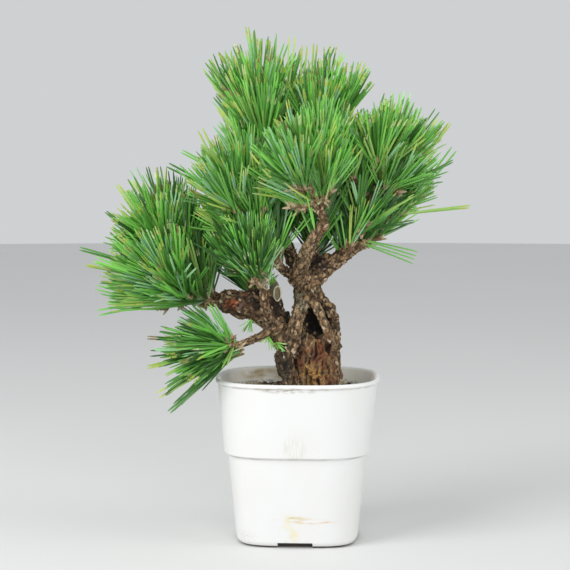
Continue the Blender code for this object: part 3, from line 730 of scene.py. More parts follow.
SAMPLES = 24
BARK_SEED = 7
THICK_BARK_RADIUS = 9.0 * MM
BARK_SWAY_SIZE = 3.0 * MM
BARK_SWAY_MM = 0.8
PLATE_SQUASH = 0.4
PLATE_MM = 2.4
THICK_PLATE_MM = 1.8
CRACK_EDGE = (0.05, 0.42)
FLAKE_TO_PLATE = 0.45
FLAKE_EDGE = (0.0, 0.2)
CORK_GRAIN = 0.9 * MM
FIBRE_SWAY_SIZE = 8.0 * MM
FIBRE_SWAY = 1.1
FIBRE_WIDTH = 2.4 * MM
SPLINTER_WIDTH = 0.8 * MM
PATCH_EDGE = (0.65, 1.15)
PATCH_RAGS = 3.5 * MM
PATCH_RAGGEDNESS = 0.45
SPECK_SIZE = 0.9 * MM


@dataclass
class Heartwood:
    """A point on a limb's middle: the limb's radius there, and the turn that lays the limb along Z."""

    radius: float
    to_limb: Matrix


heartwood = []
wood_routes = [*TRUNK_LIMBS.values(), *FRONT_LIMBS.values(), *BOUGHS.values(), *stem_routes]
nearest_limb = kdtree.KDTree(len(wood_routes) * (SAMPLES + 1))
for route in wood_routes:
    lay = (route.tip - route.start).to_track_quat("Z", "Y").to_matrix().inverted()
    for i in range(SAMPLES + 1):
        nearest_limb.insert(route.at(i / SAMPLES), len(heartwood))
        heartwood.append(Heartwood(route.radius(i / SAMPLES), lay))
nearest_limb.balance()


def limb_at(point):
    """The limb whose middle lies nearest to a point, and how far off that middle is."""
    _, found, away = nearest_limb.find(point)
    return heartwood[found], away


def bark_thickness(limb):
    """From 0 on the thinnest twigs to 1 on the stump."""
    return min(limb.radius / THICK_BARK_RADIUS, 1.0)


def smooth_step(value, low, high):
    """How far a value has come from low to high, from 0 to 1, easing in and out."""
    share = min(max((value - low) / (high - low), 0.0), 1.0)
    return share * share * (3.0 - 2.0 * share)


def chance(point):
    """A number from 0 to 1 that belongs to a place, for what differs from plate to plate."""
    return noise.noise(point * 9.7 + Vector((3.1, 5.7, 1.9))) * 0.5 + 0.5


def zone(point, centre, reach):
    """How far a point belongs to a patch of the wood with a ragged edge, from 0 to 1."""
    away = Vector([(p - c) / r for p, c, r in zip(point, centre, reach)]).length
    return 1.0 - smooth_step(away + PATCH_RAGGEDNESS * noise.noise(point / PATCH_RAGS), *PATCH_EDGE)


DEAD_WOOD = (mm(13, -17, 112), mm(15, 16, 21))
OCHRE_WOOD = (mm(8, -18, 104), mm(11, 14, 11))
RED_WOOD = (mm(13, -16, 119), mm(7, 12, 7))
LICHEN = (mm(1.5, -9, 153), mm(5.5, 9, 8))
# Painted shade: the inside of the hollow is painted near black.
HOLLOW_SHADE = (mm(12.5, 4, 140), mm(12, 11, 15))
# Painted shade in the cleft behind the left shoulder
CLEFT_SHADE = (mm(-6.5, -1, 139), mm(6, 8, 14))
# The lower left stem: its grey bark, partly darkened as painted shade
SHADED_GREY_STEM = (mm(-9, -10, 112), mm(6.5, 12, 20))
ORANGE_SCAR = (mm(-42, -11, 150.8), mm(4.6, 7, 3.6))
PINK_SCARS = (mm(-34, -11, 150.5), mm(6.5, 7, 4.2))
# The thick left bough's dark red-brown, partly its own red bark and partly painted shade
SHADED_RED_BOUGH = (mm(-31, -8, 151), mm(17, 12, 11))
PALE_BOUGH = (mm(7, -18, 186), mm(9, 10, 22))
PALE_LEGS = (mm(9, -15, 141), mm(16, 8, 16))
# Patches of painted shade, darkened towards black: on the thick left bough, in the fork, in the hole by
# the left stem and on the left crown's face
BOUGH_SHADE = (mm(-26, -7, 154), mm(4, 8, 9))
FORK_SHADE = (mm(12, -5, 177), mm(6, 7, 7))
STEM_SHADE = (mm(-8.5, -13, 112), mm(3.2, 6, 4.5))
CROWN_SHADE = (mm(-13.5, -8, 149), mm(4.5, 9, 8))
SHADED = (CLEFT_SHADE, BOUGH_SHADE, FORK_SHADE, STEM_SHADE, CROWN_SHADE)
SHADE_DEPTH = 0.85

# The dark of the cracks: the bark's own dark fissures with painted shade, also the base of the deepest
# painted shade
CRACK = Vector((0.030, 0.019, 0.012))
DEEP_RED = Vector((0.120, 0.052, 0.026))
BROWN = Vector((0.130, 0.086, 0.050))
TAN = Vector((0.305, 0.206, 0.110))
PALE_CORK = Vector((0.505, 0.390, 0.250))
RUST = Vector((0.165, 0.062, 0.028))
OCHRE = Vector((0.360, 0.225, 0.080))
SMOKE = Vector((0.100, 0.086, 0.064))
LICHEN_GREEN = Vector((0.370, 0.410, 0.320))
ORANGE = Vector((0.410, 0.115, 0.045))
PINK_GREY = Vector((0.400, 0.300, 0.260))

# Coloured patches of the bark, those on the grey stem and the red bough partly painted shade: the colour,
# the place, and how strongly it shows there
BARK_PATCHES = [(LICHEN_GREEN, LICHEN, 0.9), (SMOKE, SHADED_GREY_STEM, 0.85), (DEEP_RED, SHADED_RED_BOUGH, 0.7)]

# Painted shade in the cracks and a painted highlight on the ridges: how much light the bark returns in its
# cracks, and how much more on its ridges
CRACK_SHADING = 0.69
RIDGE_HIGHLIGHT = 0.7
DEEPEST_SHADE = 0.3


def bark_relief(point, limb):
    """(height in metres, crack to plate from 0 to 1, chance of this flake) of the bark at a point."""
    thick = bark_thickness(limb)
    laid = limb.to_limb @ point
    laid += noise.noise_vector(laid / BARK_SWAY_SIZE) * BARK_SWAY_MM * MM
    laid.z *= PLATE_SQUASH
    plate_size = (PLATE_MM + THICK_PLATE_MM * thick) * MM
    away, seeds = noise.voronoi(laid / plate_size)
    crack = smooth_step(away[1] - away[0], *CRACK_EDGE)
    plate = crack * (0.35 + 0.65 * chance(seeds[0]))
    flake_size = FLAKE_TO_PLATE * plate_size
    flake_away, flake_seeds = noise.voronoi(laid / flake_size)
    lean = Vector((chance(flake_seeds[0]) - 0.5, chance(flake_seeds[0] + seeds[0]) - 0.5, 0.4))
    flake = (laid / flake_size - flake_seeds[0]).dot(lean) * 2.2
    edge = smooth_step(flake_away[1] - flake_away[0], *FLAKE_EDGE)
    fine = noise.noise(point / CORK_GRAIN)
    plate_rise = 0.45 + 0.85 * thick
    flake_rise = 0.24 + 0.36 * thick
    height = plate_rise * (plate - 0.4) + flake_rise * (flake + edge - 0.8)
    return (height + 0.12 * fine) * MM, 0.12 + 0.68 * plate + 0.35 * flake, chance(flake_seeds[0])


def dead_wood_relief(point):
    """The same three numbers for bare fibrous wood, whose ridges run up the stump."""
    drift = noise.noise_vector(point / FIBRE_SWAY_SIZE) * FIBRE_SWAY
    flow = Vector((point.x, point.y, point.z * 0.22)) / FIBRE_WIDTH + drift
    ridge = 1.0 - abs(noise.noise(flow)) * 3.0
    splinter = noise.noise(Vector((point.x, point.y, point.z * 0.35)) / SPLINTER_WIDTH + drift)
    streak = noise.noise(flow * 0.55 + Vector((7.3, 1.1, 4.6))) * 0.5 + 0.5
    return (1.9 * ridge + 0.5 * splinter - 1.0) * MM, 0.5 * ridge + 0.3 + 0.4 * splinter, streak


def wood_colour(point, height_share, luck, bare_luck):
    """The colour of the bark or bare wood at a point, with its painted shade and highlight."""
    plate = TAN.lerp(BROWN, smooth_step(luck, 0.50, 0.68)).lerp(PALE_CORK, smooth_step(luck, 0.45, 0.30))
    for paint, patch, strength in BARK_PATCHES:
        plate = plate.lerp(paint, strength * zone(point, *patch))
    plate = plate.lerp(PALE_CORK, max(0.45 * zone(point, *PALE_BOUGH), 0.3 * zone(point, *PALE_LEGS)))
    bare = RUST.lerp(TAN, smooth_step(bare_luck, 0.45, 0.68))
    bare = bare.lerp(OCHRE, zone(point, *OCHRE_WOOD) * smooth_step(bare_luck, 0.30, 0.55))
    bare = bare.lerp(RUST, 0.7 * zone(point, *RED_WOOD))
    plate = plate.lerp(bare, zone(point, *DEAD_WOOD))
    plate = plate.lerp(ORANGE, 0.9 * zone(point, *ORANGE_SCAR))
    plate = plate.lerp(PINK_GREY, 0.7 * zone(point, *PINK_SCARS) * smooth_step(luck, 0.5, 0.6))
    # Darker in the cracks, partly the bark's own colour and partly painted shade, lighter on the ridges as
    # a painted highlight
    colour = CRACK.lerp(plate, smooth_step(height_share, -0.05, 0.50))
    colour *= CRACK_SHADING + RIDGE_HIGHLIGHT * min(max(height_share - 0.3, 0.0), 0.8)
    # Painted shade in the hollow and in the shaded patches
    shade = SHADE_DEPTH * max(zone(point, *shaded) for shaded in SHADED)
    return colour.lerp(CRACK * DEEPEST_SHADE, max(zone(point, *HOLLOW_SHADE), shade))


def dress_in_bark(piece):
    """Raises the bark's relief on the skin and stores its colour, painted shade included, at each point.
    """
    shape = bmesh.new()
    shape.from_mesh(piece.data)
    every_way = {"use_axis_x": True, "use_axis_y": True, "use_axis_z": True}
    bmesh.ops.smooth_vert(shape, verts=shape.verts, factor=0.5, **every_way)
    shape.normal_update()
    colours = []
    for vert in shape.verts:
        place = vert.co.copy()
        limb, _ = limb_at(place)
        bark, bark_share, luck = bark_relief(place, limb)
        dead, dead_share, dead_luck = dead_wood_relief(place)
        bare = zone(place, *DEAD_WOOD)
        lumps = noise.noise(place / LUMP_SIZE) * LIMB_ROUGHNESS * limb.radius
        vert.co += vert.normal * (lumps + bark + (dead - bark) * bare)
        share = bark_share + (dead_share - bark_share) * bare
        colours.append(wood_colour(place, share, luck, dead_luck))
    shape.to_mesh(piece.data)
    shape.free()
    tint = piece.data.color_attributes.new("bark_colour_and_shade", "FLOAT_COLOR", "POINT")
    tint.data.foreach_set("color", [part for colour in colours for part in (*colour, 1.0)])


# Blender's vector noise differs from run to run unless it is seeded
noise.seed_set(BARK_SEED)
dress_in_bark(wood)
bark, surface = new_finish("bark_cork", (0.20, 0.14, 0.085), 0.9)
tint = add_node(bark, "ShaderNodeAttribute", {}, attribute_name="bark_colour_and_shade").outputs["Color"]
speck = between(bark, grain(bark, SPECK_SIZE), 0.3, 0.7)
dark = add_node(bark, "ShaderNodeVectorMath", {0: tint, 1: (0.50, 0.44, 0.37)}, operation="MULTIPLY")
light = add_node(bark, "ShaderNodeVectorMath", {0: tint, 1: (1.32, 1.18, 1.0)}, operation="MULTIPLY")
colour = blend(bark, speck, dark.outputs[0], light.outputs[0])
bark.node_tree.links.new(colour, surface.inputs["Base Color"])
rough_up(bark, surface, grain(bark, 0.7 * MM), 0.25 * MM)
wood.data.materials.append(bark)
wood.data.shade_smooth()
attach(wood, "root")
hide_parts("trunk", *BOUGHS)

# Loose bark flakes
# Scales of cork a millimetre or two across that have come loose at one edge and curl away from the wood,
# which gives the trunk and the boughs their ragged outline.

FLAKES = 2600
FLAKE_KINDS = 6
THIN_TWIG = 1.8 * MM
THIN_TWIG_SKIPS = 0.6
STEEPEST_LIFT = 0.95
FLAKE_SINK = 0.15 * MM
FLAKE_COLOURS = {
    "flakes_tan": (0.300, 0.205, 0.120),
    "flakes_pale": (0.480, 0.385, 0.270),
    "flakes_brown": (0.120, 0.078, 0.046),
    "flakes_rust": (0.210, 0.085, 0.035),
}
FLAKE_SHARES = [0.45, 0.22, 0.28, 0.05]
# Flakes on the grey stem run brown and dark, partly painted shade
SHADED_GREY_STEM_SHARES = [0.25, 0.05, 0.70, 0.00]
DEAD_WOOD_SHARES = [0.15, 0.02, 0.45, 0.38]


def cork_flake(rng):
    """A thin six-sided scale, curled up at one end."""
    shape = bmesh.new()
    bmesh.ops.create_circle(shape, cap_ends=True, segments=6, radius=1.0)
    for vert in shape.verts:
        vert.co *= rng.uniform(0.65, 1.2)
        vert.co.x *= 1.5
        vert.co.z = 0.22 * max(vert.co.x, 0.0) ** 2 + rng.uniform(-0.1, 0.1)
    grown = bmesh.ops.extrude_face_region(shape, geom=shape.faces[:])["geom"]
    top = [part for part in grown if isinstance(part, bmesh.types.BMVert)]
    bmesh.ops.translate(shape, vec=(0.0, 0.0, 0.22), verts=top)
    return pattern_of(shape)


def stand_on(point, up, along, turn=0.0):
    """A place on the surface whose Z points up from it and whose X runs along it."""
    side = up.cross(along).normalized()
    forward = side.cross(up).normalized()
    frame_axes = Matrix((forward, side, up)).transposed().to_4x4()
    return Matrix.Translation(point) @ frame_axes @ Matrix.Rotation(turn, 4, "Z")


rng = random.Random(23)
flake_patterns = [cork_flake(rng) for _ in range(FLAKE_KINDS)]
flake_places = {name: [] for name in FLAKE_COLOURS}
for _ in range(FLAKES):
    vert = wood.data.vertices[rng.randrange(len(wood.data.vertices))]
    limb, _ = limb_at(vert.co)
    if limb.radius < THIN_TWIG and rng.random() < THIN_TWIG_SKIPS:
        continue
    along = limb.to_limb.inverted() @ Vector((0.0, 0.0, 1.0))
    up = (vert.normal + along * rng.uniform(-0.45, 0.45)).normalized()
    if abs(up.dot(along)) > STEEPEST_LIFT or zone(vert.co, *HOLLOW_SHADE) > 0.5:
        continue
    thick = bark_thickness(limb)
    size = rng.uniform(0.45, 0.8 + 0.9 * thick) * MM
    place = stand_on(vert.co - up * FLAKE_SINK, up, along, rng.uniform(-0.7, 0.7))
    place @= Matrix.Scale(size, 4)
    shares = FLAKE_SHARES
    if zone(vert.co, *SHADED_GREY_STEM) > 0.3:
        shares = SHADED_GREY_STEM_SHARES
    elif zone(vert.co, *DEAD_WOOD) > 0.4:
        shares = DEAD_WOOD_SHARES
    kind = rng.choices(list(FLAKE_COLOURS), shares)[0]
    flake_places[kind].append((rng.randrange(len(flake_patterns)), place))
for flakes in add_colours(FLAKE_COLOURS, flake_patterns, flake_places, roughness=0.92):
    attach(flakes, "root")

# Scars
# A stub beside the inner bough, sawn off to an oval face with a sunk core and a pale rim of healing bark,
# and pale chips of bare wood where bark has broken away from the stump.

STUB = Limb(mm(-15.5, -4, 160), mm(-12.4, -15, 158.3), mm(0, 0, 0), 2.8, 2.7)
STUB_TALLNESS = 1.9
STUB_CREASE = math.radians(40.0)
STUB_LUMPS = 1.6 * MM
STUB_ROUGHNESS = 0.5 * MM
CHIP_SINK = 0.3 * MM

# Each chip of bare wood: its X, height and size in mm, and its turn
CHIPS = [(20.6, 129.0, 1.2, 0.3), (-2.2, 122.0, 1.5, 0.2), (-1.4, 119.0, 1.2, 0.4)]

stub_shape = bmesh.new()
grow_limb(stub_shape, STUB, sides=24, steps=10)
taller = {"vec": (1.0, 1.0, STUB_TALLNESS), "space": Matrix.Translation(-STUB.tip)}
bmesh.ops.scale(stub_shape, verts=stub_shape.verts, **taller)
bmesh.ops.recalc_face_normals(stub_shape, faces=stub_shape.faces)
cut = min(stub_shape.faces, key=lambda face: face.calc_center_median().y if len(face.verts) > 4 else 1.0)
healed = bmesh.ops.inset_region(stub_shape, faces=[cut], thickness=0.8 * MM, depth=0.3 * MM)["faces"]
sunk = bmesh.ops.inset_region(stub_shape, faces=[cut], thickness=0.35 * MM, depth=-0.9 * MM)["faces"]
for vert in stub_shape.verts:
    vert.co += noise.noise_vector(vert.co / STUB_LUMPS) * STUB_ROUGHNESS
for face in healed:
    face.material_index = 1
for face in [*sunk, cut]:
    face.material_index = 2
# Each finish of the stub: name, plain colour, roughness, size of its flecks, and its two colours
STUB_FINISHES = [
    ("stub_bark", (0.250, 0.215, 0.145), 0.85, 1.4 * MM, (0.12, 0.10, 0.06), (0.38, 0.34, 0.24)),
    ("stub_healed_rim", (0.450, 0.420, 0.300), 0.8, 1.4 * MM, (0.36, 0.33, 0.22), (0.58, 0.55, 0.42)),
    ("stub_wood", (0.160, 0.130, 0.070), 0.85, 1.0 * MM, (0.07, 0.05, 0.03), (0.26, 0.22, 0.12)),
]
stub = add_piece("sawn_stub", stub_shape, *(mottled_finish(*row)[0] for row in STUB_FINISHES))
stub.data.shade_smooth()
stub.data.set_sharp_from_angle(angle=STUB_CREASE)
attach(stub, "root")

bpy.context.view_layer.update()
chip_places = []
for x, z, size, turn in CHIPS:
    _, spot, up, _ = wood.ray_cast(mm(x, -90, z), (0.0, 1.0, 0.0))
    place = stand_on(spot - up * CHIP_SINK, (up - Vector((0, 1, 0))).normalized(), Vector((0, 0, 1)), turn)
    chip_places.append((0, place @ Matrix.Scale(size * MM, 4)))
chip_finish, _ = new_finish("chips_bare_wood", (0.450, 0.365, 0.255), 0.8)
chips = add_copies("bare_chips", flake_patterns[:1], chip_places, chip_finish)
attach(chips, "root")

# The shoots
# Each mass of foliage is a stem with side shoots in a spiral, as the solids have them, and every shoot
# here forks once more near its top. They are brown young wood, rough with the scars of old needles.

GOLDEN_ANGLE = math.radians(137.508)
LEADER_SHARE = 0.7
FIRST_SHOOT = 0.2
SHOOT_SPACING = 9.0 * MM
TUFT_LENGTH = 11.0 * MM
FORKS = 3
FORK_LENGTH = 7.5 * MM
FORK_ANGLE = math.radians(42.0)
SPURS_A_BOUGH = 14
# How far the spurs deep in the crown are darkened as painted shade
SPUR_SHADE = 0.6
SPUR_LENGTH = 6.0 * MM
SHOOT_MM = 1.45
FORK_MM = 1.15
SHOOT_TIP_MM = 0.9
TWIG_SCARS = 0.25 * MM
TWIG_SCAR_SIZE = 1.1 * MM


def shoots_of(name, mass):
    """(foot, tip) of each shoot: the leader, then the side shoots in a spiral up the stem."""
    rng = random.Random(name)
    foot = BOUGHS[mass.bough].tip
    lean = (mass.top - foot).normalized()
    across = lean.orthogonal().normalized()
    whorl = foot.lerp(mass.top, LEADER_SHARE)
    found = [(whorl, mass.top)]
    for i in range(mass.sides):
        share = (i + 0.5) / mass.sides
        start = foot.lerp(whorl, FIRST_SHOOT + (1.0 - FIRST_SHOOT) * share)
        outward = Matrix.Rotation(math.radians(mass.turn) + GOLDEN_ANGLE * i, 3, lean) @ across
        flare = math.radians(mass.flares[0] + (mass.flares[1] - mass.flares[0]) * share)
        heading = lean * math.cos(flare) + outward * math.sin(flare)
        found.append((start, start + heading * mass.side_mm * MM * rng.uniform(0.9, 1.1)))
    return found


def distance_to_shoots(point, shoots):
    """From a point to the nearest of some shoots, each a segment."""
    nearest = math.inf
    for foot, tip in shoots:
        _, share = intersect_point_line(point, foot, tip)
        on_segment = foot.lerp(tip, min(max(share, 0.0), 1.0))
        nearest = min(nearest, (point - on_segment).length)
    return nearest


def grow_shoots():
    """Every mass's shoots, without the side shoots that would come near another mass's."""
    stems = {name: (BOUGHS[mass.bough].tip, mass.top) for name, mass in MASSES.items()}
    found = {name: [shoots_of(name, mass)[0]] for name, mass in MASSES.items()}
    for name, mass in MASSES.items():
        others = [shoot for other in MASSES if other != name for shoot in [stems[other], *found[other]]]
        for foot, tip in shoots_of(name, mass)[1:]:
            points = [foot.lerp(tip, share) for share in (0.5, 0.8, 1.0)]
            if all(distance_to_shoots(point, others) > SHOOT_SPACING for point in points):
                found[name].append((foot, tip))
    return found


@dataclass
class Tuft:
    """A shoot's leafy end: its mass, the shoot's ends, and how full and how shaded it is from 0 to 1."""

    mass: str
    foot: Vector
    tip: Vector
    fullness: float
    shade: float


rng = random.Random(41)
tufts = []
for mass_name, shoots in grow_shoots().items():
    for foot, tip in shoots:
        tufts.append(Tuft(mass_name, foot, tip, 1.0, MASSES[mass_name].shade))
        axis = (tip - foot).normalized()
        across = axis.orthogonal().normalized()
        spin = rng.uniform(0, math.tau)
        for i in range(FORKS):
            start = tip - axis * TUFT_LENGTH * rng.uniform(0.7, 1.3)
            outward = Matrix.Rotation(spin + GOLDEN_ANGLE * i, 3, axis) @ across
            angle = FORK_ANGLE * rng.uniform(0.8, 1.2)
            heading = axis * math.cos(angle) + outward * math.sin(angle) + Vector((0, 0, 0.25))
            fork_tip = start + heading.normalized() * FORK_LENGTH * rng.uniform(0.8, 1.25)
            tufts.append(Tuft(mass_name, start, fork_tip, 0.5, MASSES[mass_name].shade))
for mass_name, mass in MASSES.items():
    bough = BOUGHS[mass.bough]
    for i in range(round(SPURS_A_BOUGH * (1.0 - mass.spurs_from))):
        share = rng.uniform(mass.spurs_from, 1.0)
        along = bough.heading(share)
        outward = Matrix.Rotation(GOLDEN_ANGLE * i, 3, along) @ along.orthogonal().normalized()
        heading = (0.4 * along + outward + Vector((0, 0, 2.0 * mass.pull))).normalized()
        start = bough.at(share)
        spur_tip = start + heading * (bough.radius(share) + SPUR_LENGTH)
        tufts.append(Tuft(mass_name, start, spur_tip, 0.5, SPUR_SHADE))
twig_shape = bmesh.new()
for tuft in tufts:
    bow = Vector([rng.uniform(-1, 1) for _ in range(3)]) * 0.05 * (tuft.tip - tuft.foot).length
    foot_mm = SHOOT_MM if tuft.fullness == 1.0 else FORK_MM
    grow_limb(twig_shape, Limb(tuft.foot, tuft.tip, bow, foot_mm, SHOOT_TIP_MM), sides=7, steps=5)
bmesh.ops.recalc_face_normals(twig_shape, faces=twig_shape.faces)
for vert in twig_shape.verts:
    vert.co += vert.co.normalized() * TWIG_SCARS * noise.noise(vert.co / TWIG_SCAR_SIZE)
young_wood, _ = new_finish("young_wood", (0.19, 0.11, 0.055), 0.85)
twigs = add_piece("twigs", twig_shape, young_wood)
twigs.data.shade_smooth()
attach(twigs, "root")

# The needles
# Pairs of stiff needles, half round and blunt, that spring in a spiral from the last 15 mm of each shoot
# and turn up towards the light. Their greens run from deep to yellow from tuft to tuft, darker as painted
# shade in tufts deep in the crown, and many tips have dried yellow, pale or brown.

PAIRS_A_TUFT = 29
NEEDLE_LENGTH = 50.0 * MM
NEEDLE_HALF_WIDTH = 0.84 * MM
NEEDLE_GAP = 0.35 * MM
SHORTEST_NEEDLE = 0.76
TIP_ANGLE = math.radians(10.0)
LIFT = 0.9
LEAN = 0.8
LIMB_MARGIN = 2.2 * MM
POT_MARGIN = 2.0 * MM
TRIES_A_PAIR = 5
THICK_LIMB = 2.1 * MM
NEEDLE_KINDS = 6
LEAFY_LENGTH = 15.0 * MM
NEEDLE_GREENS = {
    "needles_dark_green": (0.040, 0.125, 0.024),
    "needles_deep_green": (0.085, 0.260, 0.042),
    "needles_green": (0.165, 0.460, 0.080),
    "needles_bright_green": (0.230, 0.620, 0.100),
    "needles_olive_green": (0.310, 0.520, 0.120),
    # Pale blue-green: partly a blue-green needle tone and partly painted sheen
    "needles_blue_green": (0.310, 0.580, 0.300),
    "needles_yellow_green": (0.480, 0.640, 0.130),
    "needles_straw": (0.520, 0.420, 0.200),
}
TUFT_MIXES = [
    [0.02, 0.20, 0.40, 0.20, 0.06, 0.10, 0.02, 0.00],
    [0.02, 0.12, 0.28, 0.38, 0.06, 0.12, 0.02, 0.00],
    [0.02, 0.16, 0.30, 0.14, 0.22, 0.06, 0.09, 0.01],
    [0.04, 0.22, 0.28, 0.14, 0.05, 0.25, 0.02, 0.00],
]
# Greens of tufts in the crown's shade: darker, partly the older needles' own green and partly painted
# shade
SHADED_MIX = [0.62, 0.28, 0.08, 0.02, 0.00, 0.00, 0.00, 0.00]
TIP_COLOURS = {
    "tips_yellow": (0.400, 0.500, 0.090),
    "tips_pale": (0.480, 0.580, 0.240),
    "tips_brown": (0.280, 0.200, 0.080),
}
TIP_SHARES = [0.18, 0.09, 0.03]
YELLOWINGS = (0.35, 0.8, 1.9)
VIGOUR = (0.80, 1.04)

# Widths of a needle and of its dried tip, at shares of the needle's length
NEEDLE_WIDTHS = {0.0: 0.75, 0.4: 1.0, 0.8: 0.94, 0.95: 0.78, 1.0: 0.34}
TIP_WIDTHS = {0.87: 0.93, 0.94: 0.83, 1.003: 0.40}


def needle_pair(widths, bend, spread):
    """A pair of needles that part as they rise, each through the widths given at shares of its length."""
    shape = bmesh.new()
    for side in (-1.0, 1.0):
        places = []
        for share, width in widths.items():
            apart = side * (NEEDLE_GAP + spread * share)
            rise = Vector((apart, bend * share * share, share * NEEDLE_LENGTH))
            size = width * NEEDLE_HALF_WIDTH
            places.append(Matrix.Translation(rise) @ Matrix.Diagonal((size, size, 1.0, 1.0)))
        grow_through(shape, places, sides=3)
    return pattern_of(shape)


def blocked(root, tip):
    """Whether a needle would run through a thick limb or the pot."""
    for i in range(3, 11):
        point = root.lerp(tip, i / 10)
        limb, away = limb_at(point)
        if limb.radius > THICK_LIMB and away < limb.radius * (1.0 + LIMB_ROUGHNESS) + LIMB_MARGIN:
            return True
        over_pot = max(abs(point.x), abs(point.y)) < RIM_HALF_WIDTH + POT_MARGIN
        if over_pot and point.z < POT_HEIGHT + POT_MARGIN:
            return True
    return False


def needle_ray(rng, tuft, place, count):
    """(root, tip) of one pair of needles on a tuft, turned up from its shoot by the mass's pull."""
    mass = MASSES[tuft.mass]
    axis = (tuft.tip - tuft.foot).normalized()
    share = (place + rng.uniform(0.2, 0.8)) / count
    root = tuft.tip - axis * LEAFY_LENGTH * (1.0 - share)
    lean = (mass.top - BOUGHS[mass.bough].tip).normalized()
    axis = (axis + LEAN * lean + Vector((0.0, 0.0, LIFT * mass.pull))).normalized()
    skirt = math.radians(mass.skirt)
    angle = skirt + (TIP_ANGLE - skirt) * share + rng.uniform(-0.2, 0.2)
    turn = GOLDEN_ANGLE * place + rng.uniform(-0.5, 0.5)
    across = Matrix.Rotation(turn, 3, axis) @ axis.orthogonal().normalized()
    heading = axis * math.cos(angle) + across * math.sin(angle) + Vector((0.0, 0.0, mass.pull))
    heading.normalize()
    heading.z = max(heading.z, mass.lowest + rng.uniform(0.0, 0.2))
    length = mass.needle_mm * MM * rng.uniform(SHORTEST_NEEDLE, 1.0)
    return root, root + heading.normalized() * length


# Long needles that stick out of the crown, each a foot and a tip in mm
STRAY_NEEDLES = [
    (41, -6, 192, 76, -8, 184),
    (40, -6, 190, 74, -10, 179),
    (64, -3, 208, 109, 6, 214),
    (-88, -11, 171, -139, -9, 187),
    (-81, -12, 163, -134, -13, 178),
    (-75, -12, 154, -127, -17, 147),
    (-23, -1, 284, -28, 2, 320),
    (-15, -1, 284, -16, 3, 323),
    (-7, 0, 284, -4, 0, 321),
    (1, 0, 266, 3, 0, 315),
    (6, 0, 270, 12, 1, 316),
    (2, 0, 267, 20, 1, 315),
    (3, 0, 268, 30, 2, 310),
    (-28, -1, 264, -57, -3, 306),
    (-21, 1, 268, -49, -1, 311),
    (-24, 1, 260, -58, -1, 299),
    (-20, -7, 234, -50, -9, 276),
    (-36, -18, 216, -62, -19, 261),
    (-28, -17, 223, -72, -20, 249),
    (-36, -18, 216, -81, -20, 240),
    (-89, -5, 186, -87, -5, 238),
    (-83, -4, 185, -106, -6, 232),
    (-85, -4, 185, -114, -6, 228),
    (-83, -4, 175, -122, -6, 211),
    (40, -6, 235, 57, -5, 284),
    (58, -5, 228, 91, -3, 268),
    (64, -3, 225, 97, -1, 265),
    (66, 3, 209, 100, 5, 249),
    (44, 6, 186, 82, 8, 220),
    (-39, -20, 121, -87, -27, 93),
    (-37, -20, 121, -80, -26, 83),
    (-41, -18, 126, -94, -21, 110),
    (-38, -24, 126, -86, -29, 133),
    (4.5, -45.5, 238, -4, -89, 258),
    (5, -44.5, 236.5, 16, -87, 256),
]

# Young sprigs on the left stem and under the thick left bough, each a foot and a direction
SPRIGS = [
    (mm(-30, -8, 141), Vector((-0.3, -0.5, -0.8))),
    (mm(-18, -13, 131), Vector((-0.2, -0.6, -0.9))),
    (mm(-13, -14, 127), Vector((0.2, -0.6, -0.6))),
    (mm(-26, 8, 143), Vector((-0.2, 0.7, -0.3))),
    (mm(-17, -8, 163), Vector((0.2, -0.3, 0.9))),
]
SPRIG_PAIRS = 7
SPRIG_WIDTH = 0.4
SPRIG_LENGTHS = (0.10, 0.20)
FALLEN_PAIRS = 26
FALLEN_REACH_MM = (24, 38)
FALLEN_LENGTH_MM = (10, 22)
FALLEN_SLOPE_MM = 0.6
FALLEN_LEVEL = 1.2 * MM


def pair_place(rng, root, tip):
    """The place of a pair of needles that reach from root to tip."""
    spin = Matrix.Rotation(rng.uniform(0, math.tau), 4, "Z")
    size = Matrix.Scale((tip - root).length / NEEDLE_LENGTH, 4)
    return Matrix.Translation(root) @ aimed(tip - root) @ spin @ size


def any_way(rng, reach_mm, rise_mm=0.0):
    """A step in any direction over the soil, whose length lies within a reach, with its rise."""
    turn = Matrix.Rotation(rng.uniform(0, math.tau), 4, "Z")
    return turn @ Vector((rng.uniform(*reach_mm) * MM, 0.0, rise_mm * MM))


rng = random.Random(5)
needle_bends = []
for _ in range(NEEDLE_KINDS):
    needle_bends.append((rng.uniform(-2.5, 2.5) * MM, rng.uniform(0.4, 2.6) * MM))
needle_patterns = [needle_pair(NEEDLE_WIDTHS, bend, spread) for bend, spread in needle_bends]
tip_patterns = [needle_pair(TIP_WIDTHS, bend, spread) for bend, spread in needle_bends]
needle_places = {name: [] for name in NEEDLE_GREENS}
tip_places = {name: [] for name in TIP_COLOURS}
pair_places = []
for tuft in tufts:
    mix = rng.choice(TUFT_MIXES)
    count = round(PAIRS_A_TUFT * tuft.fullness * MASSES[tuft.mass].density)
    vigour = rng.uniform(*VIGOUR)
    # Tufts in shade take darker greens: painted shade
    mix = [open_air + (dark - open_air) * tuft.shade for open_air, dark in zip(mix, SHADED_MIX)]
    yellowing = rng.choice(YELLOWINGS) * (1.0 - tuft.shade)
    for place in range(count):
        for _ in range(TRIES_A_PAIR):
            root, tip = needle_ray(rng, tuft, place, count)
            if not blocked(root, tip):
                break
        else:
            continue
        matrix = pair_place(rng, root, root.lerp(tip, vigour))
        which = rng.randrange(len(needle_patterns))
        needle_places[rng.choices(list(NEEDLE_GREENS), mix)[0]].append((which, matrix))
        pair_places.append((which, matrix))
        luck = rng.random() / yellowing
        for name, share in zip(TIP_COLOURS, TIP_SHARES):
            if luck < share:
                tip_places[name].append((which, matrix))
                break
            luck -= share
